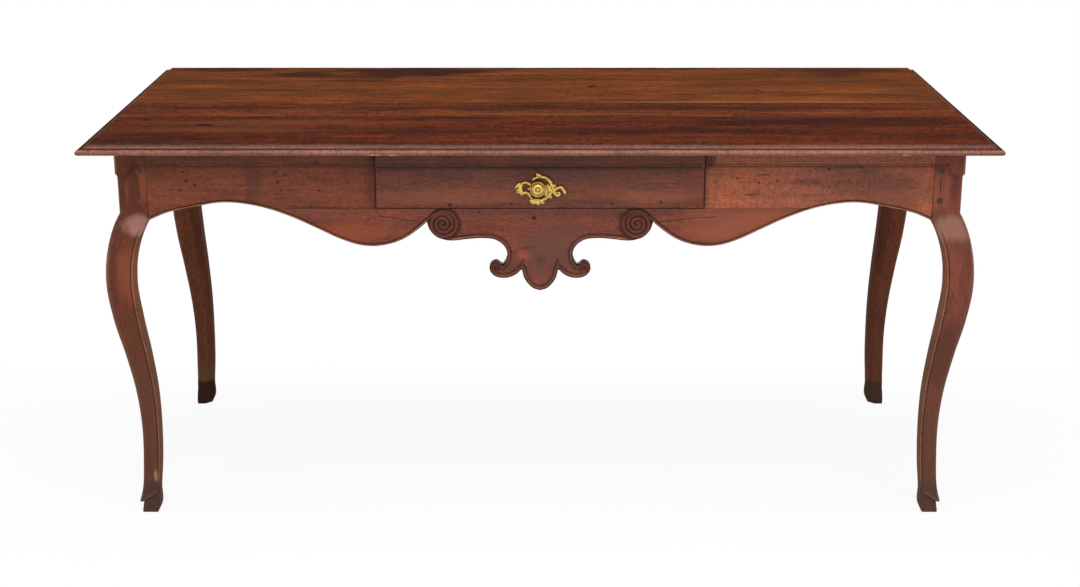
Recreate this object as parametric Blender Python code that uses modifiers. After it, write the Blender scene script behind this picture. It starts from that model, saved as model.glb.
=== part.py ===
"""Writing table with a moulded top, a scalloped apron, four cabriole legs and one drawer.

Metres, +Z up. The floor is at Z = 0 under the middle of the top, the front faces -Y and left is -X.
"""

import math

import bmesh
import bpy
from mathutils import Matrix, Vector

# Overall sizes
HEIGHT = 0.761
FRAME_LENGTH = 1.584  # over the leg blocks, along X
FRAME_DEPTH = 0.650  # over the leg blocks, along Y
END_OVERHANG = 0.051
FRONT_OVERHANG = 0.095
FIT = 0.0003  # gap between pieces that touch
CUT = 0.004  # how far a cutter reaches past the face it opens
WELD = 0.00001  # points closer than this become one
SHARP_ANGLE = 40  # degrees, above which an edge of a round piece is shaded sharp

# Top
TOP_THICKNESS = 0.018
FRONT_BOARD_WIDTH = 0.274
MIDDLE_BOARD_WIDTH = 0.142
NOSE_HEIGHT = 0.0105
NOSE_DEPTH = 0.0055
QUIRK_DEPTH = 0.0035
COVE_WIDTH = 0.009
COVE_SAG = 0.0012
ARRIS = 0.0015
NOSE_STEPS = 6
TONGUE_THICKNESS = 0.007
TONGUE_LENGTH = 0.008
TOP_PEG_DIAMETER = 0.010
TOP_PEG_DEPTH = 0.040  # below the top's underside
TOP_PEG_FRONT_INSET = 0.073  # from the middle board's front seam
TOP_PEG_BACK_INSET = 0.016  # from its back seam

# Legs: share of the height under the block, outer face, inner face, outer corner radius, inner chamfer.
# Both faces are measured from the block's outer face, positive outwards.
BLOCK = 0.055
BLOCK_HEIGHT = 0.131
BLOCK_CORNER = 0.002
LEG_STATIONS = (
    (0.000, -0.0040, -0.0350, 0.005, 0.005),
    (0.018, -0.0045, -0.0402, 0.006, 0.006),
    (0.080, -0.0075, -0.0415, 0.007, 0.007),
    (0.160, -0.0100, -0.0455, 0.008, 0.009),
    (0.285, -0.0115, -0.0480, 0.009, 0.010),
    (0.410, -0.0060, -0.0465, 0.010, 0.012),
    (0.540, 0.0070, -0.0397, 0.012, 0.014),
    (0.666, 0.0220, -0.0305, 0.013, 0.016),
    (0.786, 0.0295, -0.0255, 0.014, 0.020),
    (0.860, 0.0265, -0.0285, 0.012, 0.018),
    (0.933, 0.0170, -0.0395, 0.008, 0.010),
    (0.970, 0.0090, -0.0495, 0.004, 0.004),
    (1.000, 0.0000, -BLOCK, BLOCK_CORNER, BLOCK_CORNER),
)
LEG_STEPS = 3
CORNER_POINTS = 5

# Strip worked along the head of the frame, with a round drop at each leg corner
STRIP_HEIGHT = 0.035
STRIP_PROUD = 0.004
EAR_RADIUS = 0.022
EAR_INSET = 0.0075  # from the block's outer face to the middle of the drop
EAR_PROUD = 0.0035
EAR_STEPS = 6

# Aprons: drops are measured down from the top's underside
APRON_THICKNESS = 0.022
JOINT_DROP = 0.1445
SEAM_DROP = 0.121  # glue line between the upper and lower front boards
SEAM_TONGUE_LENGTH = 0.110
SEAM_TONGUE_INSET = 0.012  # from the drawer opening to the tongue
SEAM_TONGUE_HEIGHT = 0.008
SEAM_TONGUE_THICKNESS = 0.007
LOBE_X = 0.318
PEAK_SHARE = 0.660  # of the way from the lobe to the leg, where the arch is highest
# Share of the way from the lobe to the leg, drop
ARCH = (
    (0.924, 0.1308),
    (0.816, 0.1205),
    (PEAK_SHARE, 0.1100),
    (0.494, 0.1187),
    (0.351, 0.1394),
    (0.243, 0.1605),
    (0.136, 0.1819),
    (0.064, 0.1920),
)
# Distance from the middle, drop, for each smooth run between two corners
LOBE = ((LOBE_X, 0.1952), (0.285, 0.1910), (0.255, 0.1794), (0.235, 0.1660), (0.2135, 0.1483))
VOLUTE = (
    (0.2135, 0.1483),
    (0.2085, 0.1630),
    (0.1950, 0.1777),
    (0.1800, 0.1830),
    (0.1650, 0.1843),
    (0.1400, 0.1817),
    (0.1077, 0.1795),
    (0.0850, 0.1825),
    (0.0710, 0.1912),
    (0.0627, 0.2050),
    (0.0637, 0.2218),
    (0.0707, 0.2338),
)
HOOK = (
    (0.0707, 0.2338),
    (0.0835, 0.2266),
    (0.0938, 0.2316),
    (0.0961, 0.2383),
    (0.0935, 0.2465),
    (0.0853, 0.2545),
    (0.0690, 0.2580),
    (0.0465, 0.2515),
    (0.0347, 0.2405),
)
TIP = (
    (0.0347, 0.2405),
    (0.0335, 0.2452),
    (0.0304, 0.2571),
    (0.0229, 0.2690),
    (0.0125, 0.2785),
    (0.0000, 0.2825),
)
# Share of the way from the middle to the leg, drop
BACK_EDGE = (
    (0.957, 0.1308),
    (0.895, 0.1205),
    (0.807, 0.1100),
    (0.712, 0.1187),
    (0.620, 0.1394),
    (0.530, 0.1590),
    (0.430, 0.1690),
    (0.250, 0.1710),
    (0.000, 0.1710),
)
SIDE_EDGE = (
    (0.907, 0.1325),
    (0.760, 0.1190),
    (0.610, 0.1140),
    (0.445, 0.1230),
    (0.300, 0.1400),
    (0.165, 0.1530),
    (0.000, 0.1590),
)
EDGE_STEPS = 3

# Mortise and tenon joints of the frame, drops from the top's underside
TENON_LENGTH = 0.034
TENON_THICKNESS = 0.009
TENON_DROP = 0.028
TENON_HEIGHT = 0.100
TENON_ROOT = 0.006  # how far a tenon's solid starts inside its board
PEG_DIAMETER = 0.0115
PEG_LENGTH = 0.034
PEG_PROUD = 0.0006
PEG_INSET = 0.0135  # from the joint line to the peg's axis
PEG_UPPER_DROP = 0.051
PEG_LOWER_DROP = 0.107
PEG_SIDES = 16

# Drawer
OPENING_WIDTH = 0.6176
DRAWER_GAP = 0.0012
DRAWER_PROUD = 0.004
DRAWER_FRONT_THICKNESS = 0.020
DRAWER_LENGTH = 0.500  # of the sides, behind the front
SIDE_THICKNESS = 0.012
SIDE_INSET = 0.001  # from the front's end to the side's outer face
SIDE_HEIGHT = 0.107
TAIL_LENGTH = 0.012
TAIL_ROOT = 0.018
TAIL_TIP = 0.024
TAIL_COUNT = 3
BOTTOM_THICKNESS = 0.007
BOTTOM_RISE = 0.010  # from the side's lower edge to the panel
GROOVE_DEPTH = 0.005
BACK_THICKNESS = 0.012
BACK_INSET = 0.014  # from the side's end to the drawer back
BACK_BELOW_SIDE = 0.004

# Drawer carriage
RUNNER_WIDTH = 0.045
RUNNER_HEIGHT = 0.022
RUNNER_STUB = 0.008
RUNNER_STUB_HEIGHT = 0.012
RUNNER_BEARING = 0.024  # how far the runner reaches in under the drawer
GUIDE_WIDTH = 0.016
GUIDE_HEIGHT = 0.026
KICKER_WIDTH = 0.026
KICKER_GAP = 0.0015
STOP_LENGTH = 0.022
STOP_HEIGHT = 0.018

# Brass pull
KNOB_X = -0.004
KNOB_DROP = 0.078
KNOB_SHANK_RADIUS = 0.0027
KNOB_SIDES = 28
# Radius, distance in front of the back plate
KNOB_PROFILE = (
    (0.0022, 0.0262),
    (0.0036, 0.0248),
    (0.0040, 0.0232),
    (0.0058, 0.0226),
    (0.0075, 0.0236),
    (0.0115, 0.0226),
    (0.0138, 0.0200),
    (0.0146, 0.0172),
    (0.0136, 0.0150),
    (0.0100, 0.0130),
    (0.0062, 0.0100),
    (0.0055, 0.0060),
    (0.0090, 0.0030),
    (0.0096, 0.0),
)
PLATE_THICKNESS = 0.003
# Outline and openings of the plate about the knob's axis, to the right and up
PLATE_OUTLINE = (
    (-0.0019, 0.0297),
    (0.0050, 0.0228),
    (0.0126, 0.0202),
    (0.0205, 0.0150),
    (0.0248, 0.0085),
    (0.0309, 0.0075),
    (0.0350, 0.0020),
    (0.0415, 0.0022),
    (0.0470, -0.0030),
    (0.0505, -0.0125),
    (0.0455, -0.0110),
    (0.0420, -0.0150),
    (0.0370, -0.0170),
    (0.0300, -0.0125),
    (0.0250, -0.0160),
    (0.0225, -0.0240),
    (0.0170, -0.0250),
    (0.0130, -0.0305),
    (0.0000, -0.0360),
    (-0.0085, -0.0325),
    (-0.0160, -0.0220),
    (-0.0225, -0.0150),
    (-0.0295, -0.0175),
    (-0.0345, -0.0120),
    (-0.0410, -0.0075),
    (-0.0438, 0.0000),
    (-0.0380, 0.0070),
    (-0.0300, 0.0110),
    (-0.0210, 0.0115),
    (-0.0140, 0.0100),
    (-0.0090, 0.0130),
    (-0.0070, 0.0180),
    (-0.0030, 0.0205),
)
PLATE_LEFT_HOLE = ((-0.0265, 0.0035), (-0.0150, 0.0050), (-0.0140, -0.0070), (-0.0255, -0.0085))
PLATE_TOP_HOLE = (
    (-0.0010, 0.0165),
    (0.0080, 0.0160),
    (0.0165, 0.0105),
    (0.0185, 0.0045),
    (0.0120, 0.0085),
    (0.0020, 0.0125),
)
PLATE_STEPS = 2
HOLE_STEPS = 3
PIN_HEAD_RADIUS = 0.0018
PIN_RADIUS = 0.0009
PIN_LENGTH = 0.010
PIN_LEFT = (-0.0350, -0.0010)
PIN_RIGHT = (0.0310, -0.0050)
PIN_HEAD_STEPS = 2
SMALL_SIDES = 12
WASHER_RADIUS = 0.0070
WASHER_THICKNESS = 0.0012
NUT_RADIUS = 0.0055
NUT_THICKNESS = 0.0040
NUT_SIDES = 6
SHANK_PAST_NUT = 0.0020

# Worked out from the sizes above
UNDERSIDE = HEIGHT - TOP_THICKNESS
FRAME_TOP = UNDERSIDE - FIT
HALF_LENGTH = FRAME_LENGTH / 2
HALF_DEPTH = FRAME_DEPTH / 2
JOINT_X = HALF_LENGTH - BLOCK
JOINT_Y = HALF_DEPTH - BLOCK
BLOCK_BOTTOM = FRAME_TOP - BLOCK_HEIGHT
STRIP_BOTTOM = FRAME_TOP - STRIP_HEIGHT
FRONT_SEAM_Y = -HALF_DEPTH - FRONT_OVERHANG + FRONT_BOARD_WIDTH
BACK_SEAM_Y = FRONT_SEAM_Y + MIDDLE_BOARD_WIDTH
SEAM = UNDERSIDE - SEAM_DROP
OPENING_HALF = OPENING_WIDTH / 2
DRAWER_HALF = OPENING_HALF - DRAWER_GAP
DRAWER_FACE = -HALF_DEPTH - DRAWER_PROUD
DRAWER_FRONT_BACK = DRAWER_FACE + DRAWER_FRONT_THICKNESS
DRAWER_END = DRAWER_FRONT_BACK + FIT + DRAWER_LENGTH
SIDE_OUTER = DRAWER_HALF - SIDE_INSET
SIDE_INNER = SIDE_OUTER - SIDE_THICKNESS
RUNNER_TOP = SEAM - FIT
SIDE_BOTTOM = RUNNER_TOP + FIT
SIDE_TOP = SIDE_BOTTOM + SIDE_HEIGHT
BOTTOM_LOW = SIDE_BOTTOM + BOTTOM_RISE
BOTTOM_HIGH = BOTTOM_LOW + BOTTOM_THICKNESS
APRON_INNER = HALF_DEPTH - APRON_THICKNESS
KNOB_Z = UNDERSIDE - KNOB_DROP
PLATE_BACK = DRAWER_FACE - FIT
PLATE_FACE = PLATE_BACK - PLATE_THICKNESS

# Colours are linear; each is colour, roughness, metallic
TOP_WOOD = ((0.150, 0.046, 0.018), 0.35, 0.0)
FRAME_WOOD = ((0.175, 0.050, 0.025), 0.40, 0.0)
LEG_WOOD = ((0.165, 0.050, 0.026), 0.38, 0.0)
PEG_WOOD = ((0.060, 0.030, 0.016), 0.55, 0.0)
INNER_WOOD = ((0.330, 0.180, 0.085), 0.70, 0.0)
BRASS = ((0.720, 0.460, 0.120), 0.28, 1.0)


def new_collection(name):
    collection = bpy.data.collections.new(name)
    bpy.context.scene.collection.children.link(collection)
    return collection


for old in list(bpy.data.objects):
    bpy.data.objects.remove(old, do_unlink=True)
PARTS = new_collection("writing_table")
CUTTERS = new_collection("cutters")


def add(name, mesh, place=None):
    """A new part with this mesh."""
    part = bpy.data.objects.new(name, mesh)
    part.matrix_world = place or Matrix.Identity(4)
    PARTS.objects.link(part)
    return part


def as_helper(part):
    """Keeps a solid for a Boolean only."""
    PARTS.objects.unlink(part)
    CUTTERS.objects.link(part)
    part.hide_render = True
    part.display_type = "WIRE"
    return part


def boolean(part, other, operation):
    if other.name not in CUTTERS.objects:
        as_helper(other)
    modifier = part.modifiers.new(operation.lower() + "_" + other.name, "BOOLEAN")
    modifier.operation = operation
    modifier.solver = "EXACT"
    modifier.object = other


def cut(part, *cutters):
    for cutter in cutters:
        boolean(part, cutter, "DIFFERENCE")


def join(part, *others):
    for other in others:
        boolean(part, other, "UNION")


def finish(part, look):
    """Gives a part its own material."""
    colour, roughness, metallic = look
    material = bpy.data.materials.new(part.name)
    material.use_nodes = True
    shader = material.node_tree.nodes["Principled BSDF"]
    shader.inputs["Base Color"].default_value = (*colour, 1.0)
    shader.inputs["Roughness"].default_value = roughness
    shader.inputs["Metallic"].default_value = metallic
    part.data.materials.append(material)
    return part


def round_shading(part):
    part.data.shade_smooth()
    part.data.set_sharp_from_angle(angle=math.radians(SHARP_ANGLE))


def mesh_from(work, name):
    bmesh.ops.recalc_face_normals(work, faces=work.faces)
    mesh = bpy.data.meshes.new(name)
    work.to_mesh(mesh)
    work.free()
    return mesh


def box(name, low, high):
    """A block between two corners, with its origin in its middle."""
    low, high = Vector(low), Vector(high)
    work = bmesh.new()
    bmesh.ops.create_cube(work, size=1.0)
    bmesh.ops.scale(work, vec=high - low, verts=work.verts)
    return add(name, mesh_from(work, name), Matrix.Translation((low + high) / 2))


def rod(name, radius, start, end, sides=PEG_SIDES):
    """A round pin from start to end, with its origin in its middle."""
    start, end = Vector(start), Vector(end)
    work = bmesh.new()
    bmesh.ops.create_cone(
        work, cap_ends=True, segments=sides, radius1=radius, radius2=radius, depth=(end - start).length
    )
    turn = (end - start).to_track_quat("Z", "Y").to_matrix().to_4x4()
    part = add(name, mesh_from(work, name), Matrix.Translation((start + end) / 2) @ turn)
    round_shading(part)
    return part


def loft(name, rings, place):
    """A closed body through rings that have as many points as each other."""
    work = bmesh.new()
    loops = [[work.verts.new(point) for point in ring] for ring in rings]
    for lower, upper in zip(loops, loops[1:]):
        for i in range(len(lower)):
            k = (i + 1) % len(lower)
            work.faces.new((lower[i], lower[k], upper[k], upper[i]))
    work.faces.new(loops[0])
    work.faces.new(loops[-1])
    return add(name, mesh_from(work, name), place)


def turned(name, profile, sides, place):
    """A body of revolution about the local Z axis, from a profile that runs from front to back."""
    work = bmesh.new()
    points = [work.verts.new((radius, 0.0, height)) for radius, height in profile]
    for first, second in zip(points, points[1:]):
        work.edges.new((first, second))
    mesh = bpy.data.meshes.new(name)
    work.to_mesh(mesh)
    work.free()
    part = add(name, mesh, place)
    screw = part.modifiers.new("turn", "SCREW")
    screw.steps = sides
    screw.render_steps = sides
    screw.use_merge_vertices = True
    screw.merge_threshold = WELD
    screw.use_smooth_shade = True
    return part


FRONT_PLANE = Matrix.Rotation(math.radians(90), 4, "X")  # outline X and Y become X and Z
SIDE_PLANE = Matrix.Rotation(math.radians(90), 4, "Z") @ FRONT_PLANE  # they become Y and Z


def plate(name, outlines, thickness, place):
    """A flat board from closed outlines, the later ones being openings, centred on its plane."""
    curve = bpy.data.curves.new(name, "CURVE")
    curve.dimensions = "2D"
    curve.fill_mode = "BOTH"
    curve.extrude = thickness / 2
    for outline in outlines:
        spline = curve.splines.new("POLY")
        spline.points.add(len(outline) - 1)
        for point, (x, y) in zip(spline.points, outline):
            point.co = (x, y, 0.0, 1.0)
        spline.use_cyclic_u = True
    guide = bpy.data.objects.new(name + "_outline", curve)
    PARTS.objects.link(guide)
    guide.matrix_world = place
    bpy.context.view_layer.update()
    mesh = bpy.data.meshes.new_from_object(guide.evaluated_get(bpy.context.evaluated_depsgraph_get()))
    mesh.name = name
    bpy.data.objects.remove(guide)
    work = bmesh.new()
    work.from_mesh(mesh)
    bmesh.ops.remove_doubles(work, verts=work.verts, dist=WELD)
    bmesh.ops.recalc_face_normals(work, faces=work.faces)
    work.to_mesh(mesh)
    work.free()
    return add(name, mesh, place)


def curve_through(points, steps, closed=False):
    """Points on a smooth curve through the given ones, with their ends."""
    points = [Vector(point) for point in points]
    if closed:
        points = [points[-1], *points, points[0], points[1]]
    else:
        points = [2 * points[0] - points[1], *points, 2 * points[-1] - points[-2]]
    spans = [(b - a).length for a, b in zip(points, points[1:])]
    slopes = [(b - a) / span for a, b, span in zip(points, points[1:], spans)]
    found = []
    for i in range(1, len(points) - 2):
        before, here, after = spans[i - 1 : i + 2]
        start_slope = (slopes[i - 1] * here + slopes[i] * before) / (before + here)
        end_slope = (slopes[i] * after + slopes[i + 1] * here) / (here + after)
        for step in range(steps):
            t = step / steps
            found.append(
                points[i] * (1 + 2 * t) * (1 - t) ** 2
                + start_slope * here * t * (1 - t) ** 2
                + points[i + 1] * t * t * (3 - 2 * t)
                - end_slope * here * t * t * (1 - t)
            )
    if not closed:
        found.append(points[-2])
    return found


def top_boards():
    """Three boards cut from one slab, tongued together, with a moulding round the slab."""
    half_x = HALF_LENGTH + END_OVERHANG
    half_y = HALF_DEPTH + FRONT_OVERHANG
    turns = [math.pi * (step / NOSE_STEPS - 0.5) for step in range(NOSE_STEPS + 1)]
    nose = [(NOSE_DEPTH * (1 - math.cos(a)), NOSE_HEIGHT / 2 * (1 + math.sin(a))) for a in turns]
    cove_start = NOSE_DEPTH + QUIRK_DEPTH
    cove_low = NOSE_HEIGHT + ARRIS
    cove_high = TOP_THICKNESS - ARRIS
    middle = (cove_start + COVE_WIDTH / 2, (cove_low + cove_high) / 2 - COVE_SAG)
    profile = [
        *nose,
        (cove_start, NOSE_HEIGHT),
        (cove_start, cove_low),
        middle,
        (cove_start + COVE_WIDTH, cove_high),
        (cove_start + COVE_WIDTH + ARRIS, TOP_THICKNESS),
    ]
    rings = []
    for inset, rise in profile:
        x, y, z = half_x - inset, half_y - inset, UNDERSIDE + rise
        rings.append([(-x, -y, z), (x, -y, z), (x, y, z), (-x, y, z)])
    slab = as_helper(loft("slab", rings, Matrix.Identity(4)))
    low, high = UNDERSIDE - CUT, HEIGHT + CUT
    tongue_low = UNDERSIDE + (TOP_THICKNESS - TONGUE_THICKNESS) / 2
    tongue_high = tongue_low + TONGUE_THICKNESS
    front, back = -half_y - CUT, half_y + CUT

    def tongue(y):
        edge, end = y - FIT / 2, y + TONGUE_LENGTH
        ends = [(end, tongue_low), (end, tongue_high)]
        return [(edge, low), (edge, tongue_low), *ends, (edge, tongue_high), (edge, high)]

    def groove(y):
        edge, end = y + FIT / 2, y + TONGUE_LENGTH + FIT
        under, over = tongue_low - FIT, tongue_high + FIT
        return [(edge, high), (edge, over), (end, over), (end, under), (edge, under), (edge, low)]

    outlines = {
        "top_board_front": [(front, high), (front, low), *tongue(FRONT_SEAM_Y)],
        "top_board_middle": [*groove(FRONT_SEAM_Y), *tongue(BACK_SEAM_Y)],
        "top_board_back": [*groove(BACK_SEAM_Y), (back, low), (back, high)],
    }
    boards = {}
    for name, outline in outlines.items():
        board = plate(name, [outline], 2 * (half_x + CUT), SIDE_PLANE)
        boolean(board, slab, "INTERSECT")
        boards[name] = finish(board, TOP_WOOD)
    return boards


def leg_ring(outer, inner, radius, chamfer):
    """One section of a leg, outwards from the block's outer faces."""
    arc = [math.radians(90) * k / (CORNER_POINTS - 1) for k in range(CORNER_POINTS)]
    middle = outer - radius
    return [
        (outer, inner),
        *((middle + radius * math.cos(a), middle + radius * math.sin(a)) for a in arc),
        (inner, outer),
        (inner, inner + chamfer),
        (inner + chamfer, inner),
    ]


def ear_ring(drop):
    """A square section of the drop at a leg's outer corner."""
    inner = -EAR_INSET - math.sqrt(max(EAR_RADIUS**2 - drop**2, 0.0))
    return [(EAR_PROUD, inner), (EAR_PROUD, EAR_PROUD), (inner, EAR_PROUD), (inner, inner)]


def leg(name, side, end):
    """side is -1 on the left, end is -1 at the front."""
    place = Matrix.Translation((side * (HALF_LENGTH - BLOCK / 2), end * (HALF_DEPTH - BLOCK / 2), 0.0))

    def ring(points, z):
        return [(side * (BLOCK / 2 + u), end * (BLOCK / 2 + v), z) for u, v in points]

    stations = [(share * BLOCK_BOTTOM, *sizes) for share, *sizes in LEG_STATIONS]
    rings = [ring(leg_ring(*sizes), z) for z, *sizes in curve_through(stations, LEG_STEPS)]
    rings.append(ring(leg_ring(0.0, -BLOCK, BLOCK_CORNER, BLOCK_CORNER), FRAME_TOP - FIT))
    part = loft(name, rings, place)
    inner, outer = FIT - BLOCK, STRIP_PROUD
    head = [(outer, inner), (outer, outer), (inner, outer), (inner, inner)]
    join(part, loft(name + "_head", [ring(head, STRIP_BOTTOM), ring(head, FRAME_TOP)], place))
    ear_rings = [ring(ear_ring(0.0), STRIP_BOTTOM + CUT)]
    for step in range(EAR_STEPS):
        drop = EAR_RADIUS * math.sin(math.radians(90) * step / EAR_STEPS)
        ear_rings.append(ring(ear_ring(drop), STRIP_BOTTOM - drop))
    ear_rings.append(ring(ear_ring(EAR_RADIUS), STRIP_BOTTOM - EAR_RADIUS))
    join(part, loft(name + "_ear", ear_rings, place))
    round_shading(part)
    return finish(part, LEG_WOOD)


def full_edge(half):
    """A symmetric lower edge from its right half, which runs from the leg to the middle."""
    return half + [Vector((-x, z)) for x, z in reversed(half[:-1])]


def edge_points(joint, run):
    """Distances and heights of a run whose points are shares of the way to the leg."""
    points = [(joint, UNDERSIDE - JOINT_DROP)]
    points += [(share * joint, UNDERSIDE - drop) for share, drop in run]
    return curve_through(points, EDGE_STEPS)


def front_edge():
    end = JOINT_X - FIT
    arch = [(end, JOINT_DROP)] + [(LOBE_X + share * (end - LOBE_X), drop) for share, drop in ARCH]
    runs = (arch + list(LOBE), VOLUTE, HOOK, TIP)
    half = []
    for run in runs:
        points = curve_through([(x, UNDERSIDE - drop) for x, drop in run], EDGE_STEPS)
        half += points if run is TIP else points[:-1]
    return full_edge(half)


def apron_board(name, edge, place, facing):
    """A board with a strip along its head. facing is the way from its middle plane to its outer face."""
    outline = [(x, z) for x, z in edge]
    end = outline[0][0]
    outline += [(-end, FRAME_TOP), (end, FRAME_TOP)]
    shift = Matrix.Translation(Vector(facing) * (STRIP_PROUD - APRON_THICKNESS) / 2)
    return plate(name, [outline], APRON_THICKNESS + STRIP_PROUD, shift @ place)


def front_box(name, x_low, x_high, z_low, z_high, y_low, y_high):
    return box(name, (x_low, y_low, z_low), (x_high, y_high, z_high))


def strip_relief(name, half, outer, sign):
    """Cuts a board back below its strip; outer is the face's distance from the middle, sign its side."""
    faces = sorted((sign * outer, sign * (outer + STRIP_PROUD + CUT)))
    return front_box(name, -half, half, 0.0, STRIP_BOTTOM, *faces)


TENON_HIGH = UNDERSIDE - TENON_DROP
TENON_LOW = TENON_HIGH - TENON_HEIGHT
TENON_FACE = (APRON_THICKNESS - TENON_THICKNESS) / 2  # from the apron's outer face to the tenon


def tenon(name, along, side, end, grow=0.0):
    """A tenon, or with grow its mortise, at the leg on this side and end, of the apron along X or Y."""
    joint, across = (JOINT_X, HALF_DEPTH) if along == "X" else (JOINT_Y, HALF_LENGTH)
    near = joint - (CUT if grow else TENON_ROOT)
    far = joint + TENON_LENGTH + grow
    outer = across - TENON_FACE + grow
    inner = across - TENON_FACE - TENON_THICKNESS - grow
    run, width = (side, end) if along == "X" else (end, side)
    runs = sorted((run * near, run * far))
    widths = sorted((width * inner, width * outer))
    x, y = (runs, widths) if along == "X" else (widths, runs)
    return box(name, (x[0], y[0], TENON_LOW - grow), (x[1], y[1], TENON_HIGH + grow))


def peg_ends(along, side, end, drop):
    """Start and end points of a peg through the leg's outer face into the tenon of an apron."""
    z = UNDERSIDE - drop
    if along == "X":
        x, y = side * (JOINT_X + PEG_INSET), end * HALF_DEPTH
        return (x, y + end * PEG_PROUD, z), (x, y - end * (PEG_LENGTH - PEG_PROUD), z)
    x, y = side * HALF_LENGTH, end * (JOINT_Y + PEG_INSET)
    return (x + side * PEG_PROUD, y, z), (x - side * (PEG_LENGTH - PEG_PROUD), y, z)


def peg(name, along, side, end, drop, pierced):
    """A peg and its hole through the given pieces."""
    start, stop = (Vector(point) for point in peg_ends(along, side, end, drop))
    way = (stop - start).normalized()
    finish(rod(name, PEG_DIAMETER / 2, start, stop), PEG_WOOD)
    hole = rod(name + "_hole", PEG_DIAMETER / 2 + FIT, start - way * CUT, stop + way * FIT)
    for piece in pierced:
        cut(piece, hole)


SIDES = {"left": -1, "right": 1}
ENDS = {"front": -1, "back": 1}


def legs_and_aprons():
    legs = {
        (side, end): leg(f"leg_{end_name}_{side_name}", side, end)
        for end_name, end in ENDS.items()
        for side_name, side in SIDES.items()
    }
    front = front_boards()
    back_edge = full_edge(edge_points(JOINT_X - FIT, BACK_EDGE))
    back = apron_board("apron_back", back_edge, place_front(HALF_DEPTH), (0, 1, 0))
    cut(back, strip_relief("apron_back_relief", HALF_LENGTH, HALF_DEPTH, 1))
    side_edge = full_edge(edge_points(JOINT_Y - FIT, SIDE_EDGE))
    aprons = {("X", side, -1): front[side_name] for side_name, side in SIDES.items()}
    aprons.update({("X", side, 1): back for side in SIDES.values()})
    for side_name, side in SIDES.items():
        place = Matrix.Translation((side * HALF_LENGTH, 0, 0)) @ SIDE_PLANE
        board = apron_board(f"apron_side_{side_name}", side_edge, place, (side, 0, 0))
        faces = sorted((side * HALF_LENGTH, side * (HALF_LENGTH + STRIP_PROUD + CUT)))
        low, high = (faces[0], -HALF_DEPTH, 0.0), (faces[1], HALF_DEPTH, STRIP_BOTTOM)
        cut(board, box(f"apron_side_{side_name}_relief", low, high))
        aprons.update({("Y", side, end): board for end in ENDS.values()})
    for (along, side, end), board in aprons.items():
        side_name = "left" if side < 0 else "right"
        end_name = "front" if end < 0 else "back"
        joint = f"{end_name}_{side_name}" if along == "X" else f"side_{side_name}_{end_name}"
        join(board, tenon(f"tenon_{joint}", along, side, end))
        cut(legs[side, end], tenon(f"mortise_{joint}", along, side, end, FIT))
        for level, drop in (("upper", PEG_UPPER_DROP), ("lower", PEG_LOWER_DROP)):
            peg(f"peg_{joint}_{level}", along, side, end, drop, (legs[side, end], board))
    for board in {*aprons.values(), front["lower"]}:
        finish(board, FRAME_WOOD)
    return front, back, {name: aprons["Y", side, -1] for name, side in SIDES.items()}


def place_front(y):
    return Matrix.Translation((0, y, 0)) @ FRONT_PLANE


def front_boards():
    """Upper boards beside the drawer, and the shaped board below, cut from one outline."""
    edge = front_edge()
    y_low, y_high = -HALF_DEPTH - STRIP_PROUD - CUT, -APRON_INNER + CUT
    boards = {}
    tongue_y = -HALF_DEPTH + (APRON_THICKNESS - SEAM_TONGUE_THICKNESS) / 2
    peak = LOBE_X + PEAK_SHARE * (JOINT_X - FIT - LOBE_X)
    below_seam = as_helper(front_box("below_seam", -peak, peak, 0.0, SEAM, y_low, y_high))
    for name, x_low, x_high, z_high in (
        ("left", -HALF_LENGTH, -OPENING_HALF, HEIGHT),
        ("right", OPENING_HALF, HALF_LENGTH, HEIGHT),
        ("lower", -peak, peak, SEAM - FIT),
    ):
        board = apron_board(f"apron_front_{name}", edge, place_front(-HALF_DEPTH), (0, -1, 0))
        keep = front_box(f"apron_front_{name}_keep", x_low, x_high, 0.0, z_high, y_low, y_high)
        boolean(board, keep, "INTERSECT")
        cut(board, strip_relief(f"apron_front_{name}_relief", HALF_LENGTH, HALF_DEPTH, -1))
        if name != "lower":
            cut(board, below_seam)
        boards[name] = board
    for name, side in SIDES.items():
        near = OPENING_HALF + SEAM_TONGUE_INSET
        far = near + SEAM_TONGUE_LENGTH
        x = sorted((side * near, side * far))
        y = (tongue_y, tongue_y + SEAM_TONGUE_THICKNESS)
        tongue = front_box(f"seam_tongue_{name}", *x, SEAM - TENON_ROOT, SEAM + SEAM_TONGUE_HEIGHT, *y)
        join(boards["lower"], tongue)
        groove = front_box(
            f"seam_groove_{name}",
            x[0] - FIT,
            x[1] + FIT,
            SEAM - CUT,
            SEAM + SEAM_TONGUE_HEIGHT + FIT,
            y[0] - FIT,
            y[1] + FIT,
        )
        cut(boards[name], groove)
    return boards


def top_pegs(boards, side_aprons):
    """Pegs from the top's surface into the side aprons."""
    for side_name, side in SIDES.items():
        x = side * (HALF_LENGTH - APRON_THICKNESS / 2)
        front_y = FRONT_SEAM_Y + TOP_PEG_FRONT_INSET
        back_y = BACK_SEAM_Y - TOP_PEG_BACK_INSET
        for place, y in (("front", front_y), ("back", back_y)):
            name = f"top_peg_{side_name}_{place}"
            low = UNDERSIDE - TOP_PEG_DEPTH
            finish(rod(name, TOP_PEG_DIAMETER / 2, (x, y, HEIGHT), (x, y, low)), PEG_WOOD)
            hole = rod(name + "_hole", TOP_PEG_DIAMETER / 2 + FIT, (x, y, HEIGHT + CUT), (x, y, low - FIT))
            cut(boards["top_board_middle"], hole)
            cut(side_aprons[side_name], hole)


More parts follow.
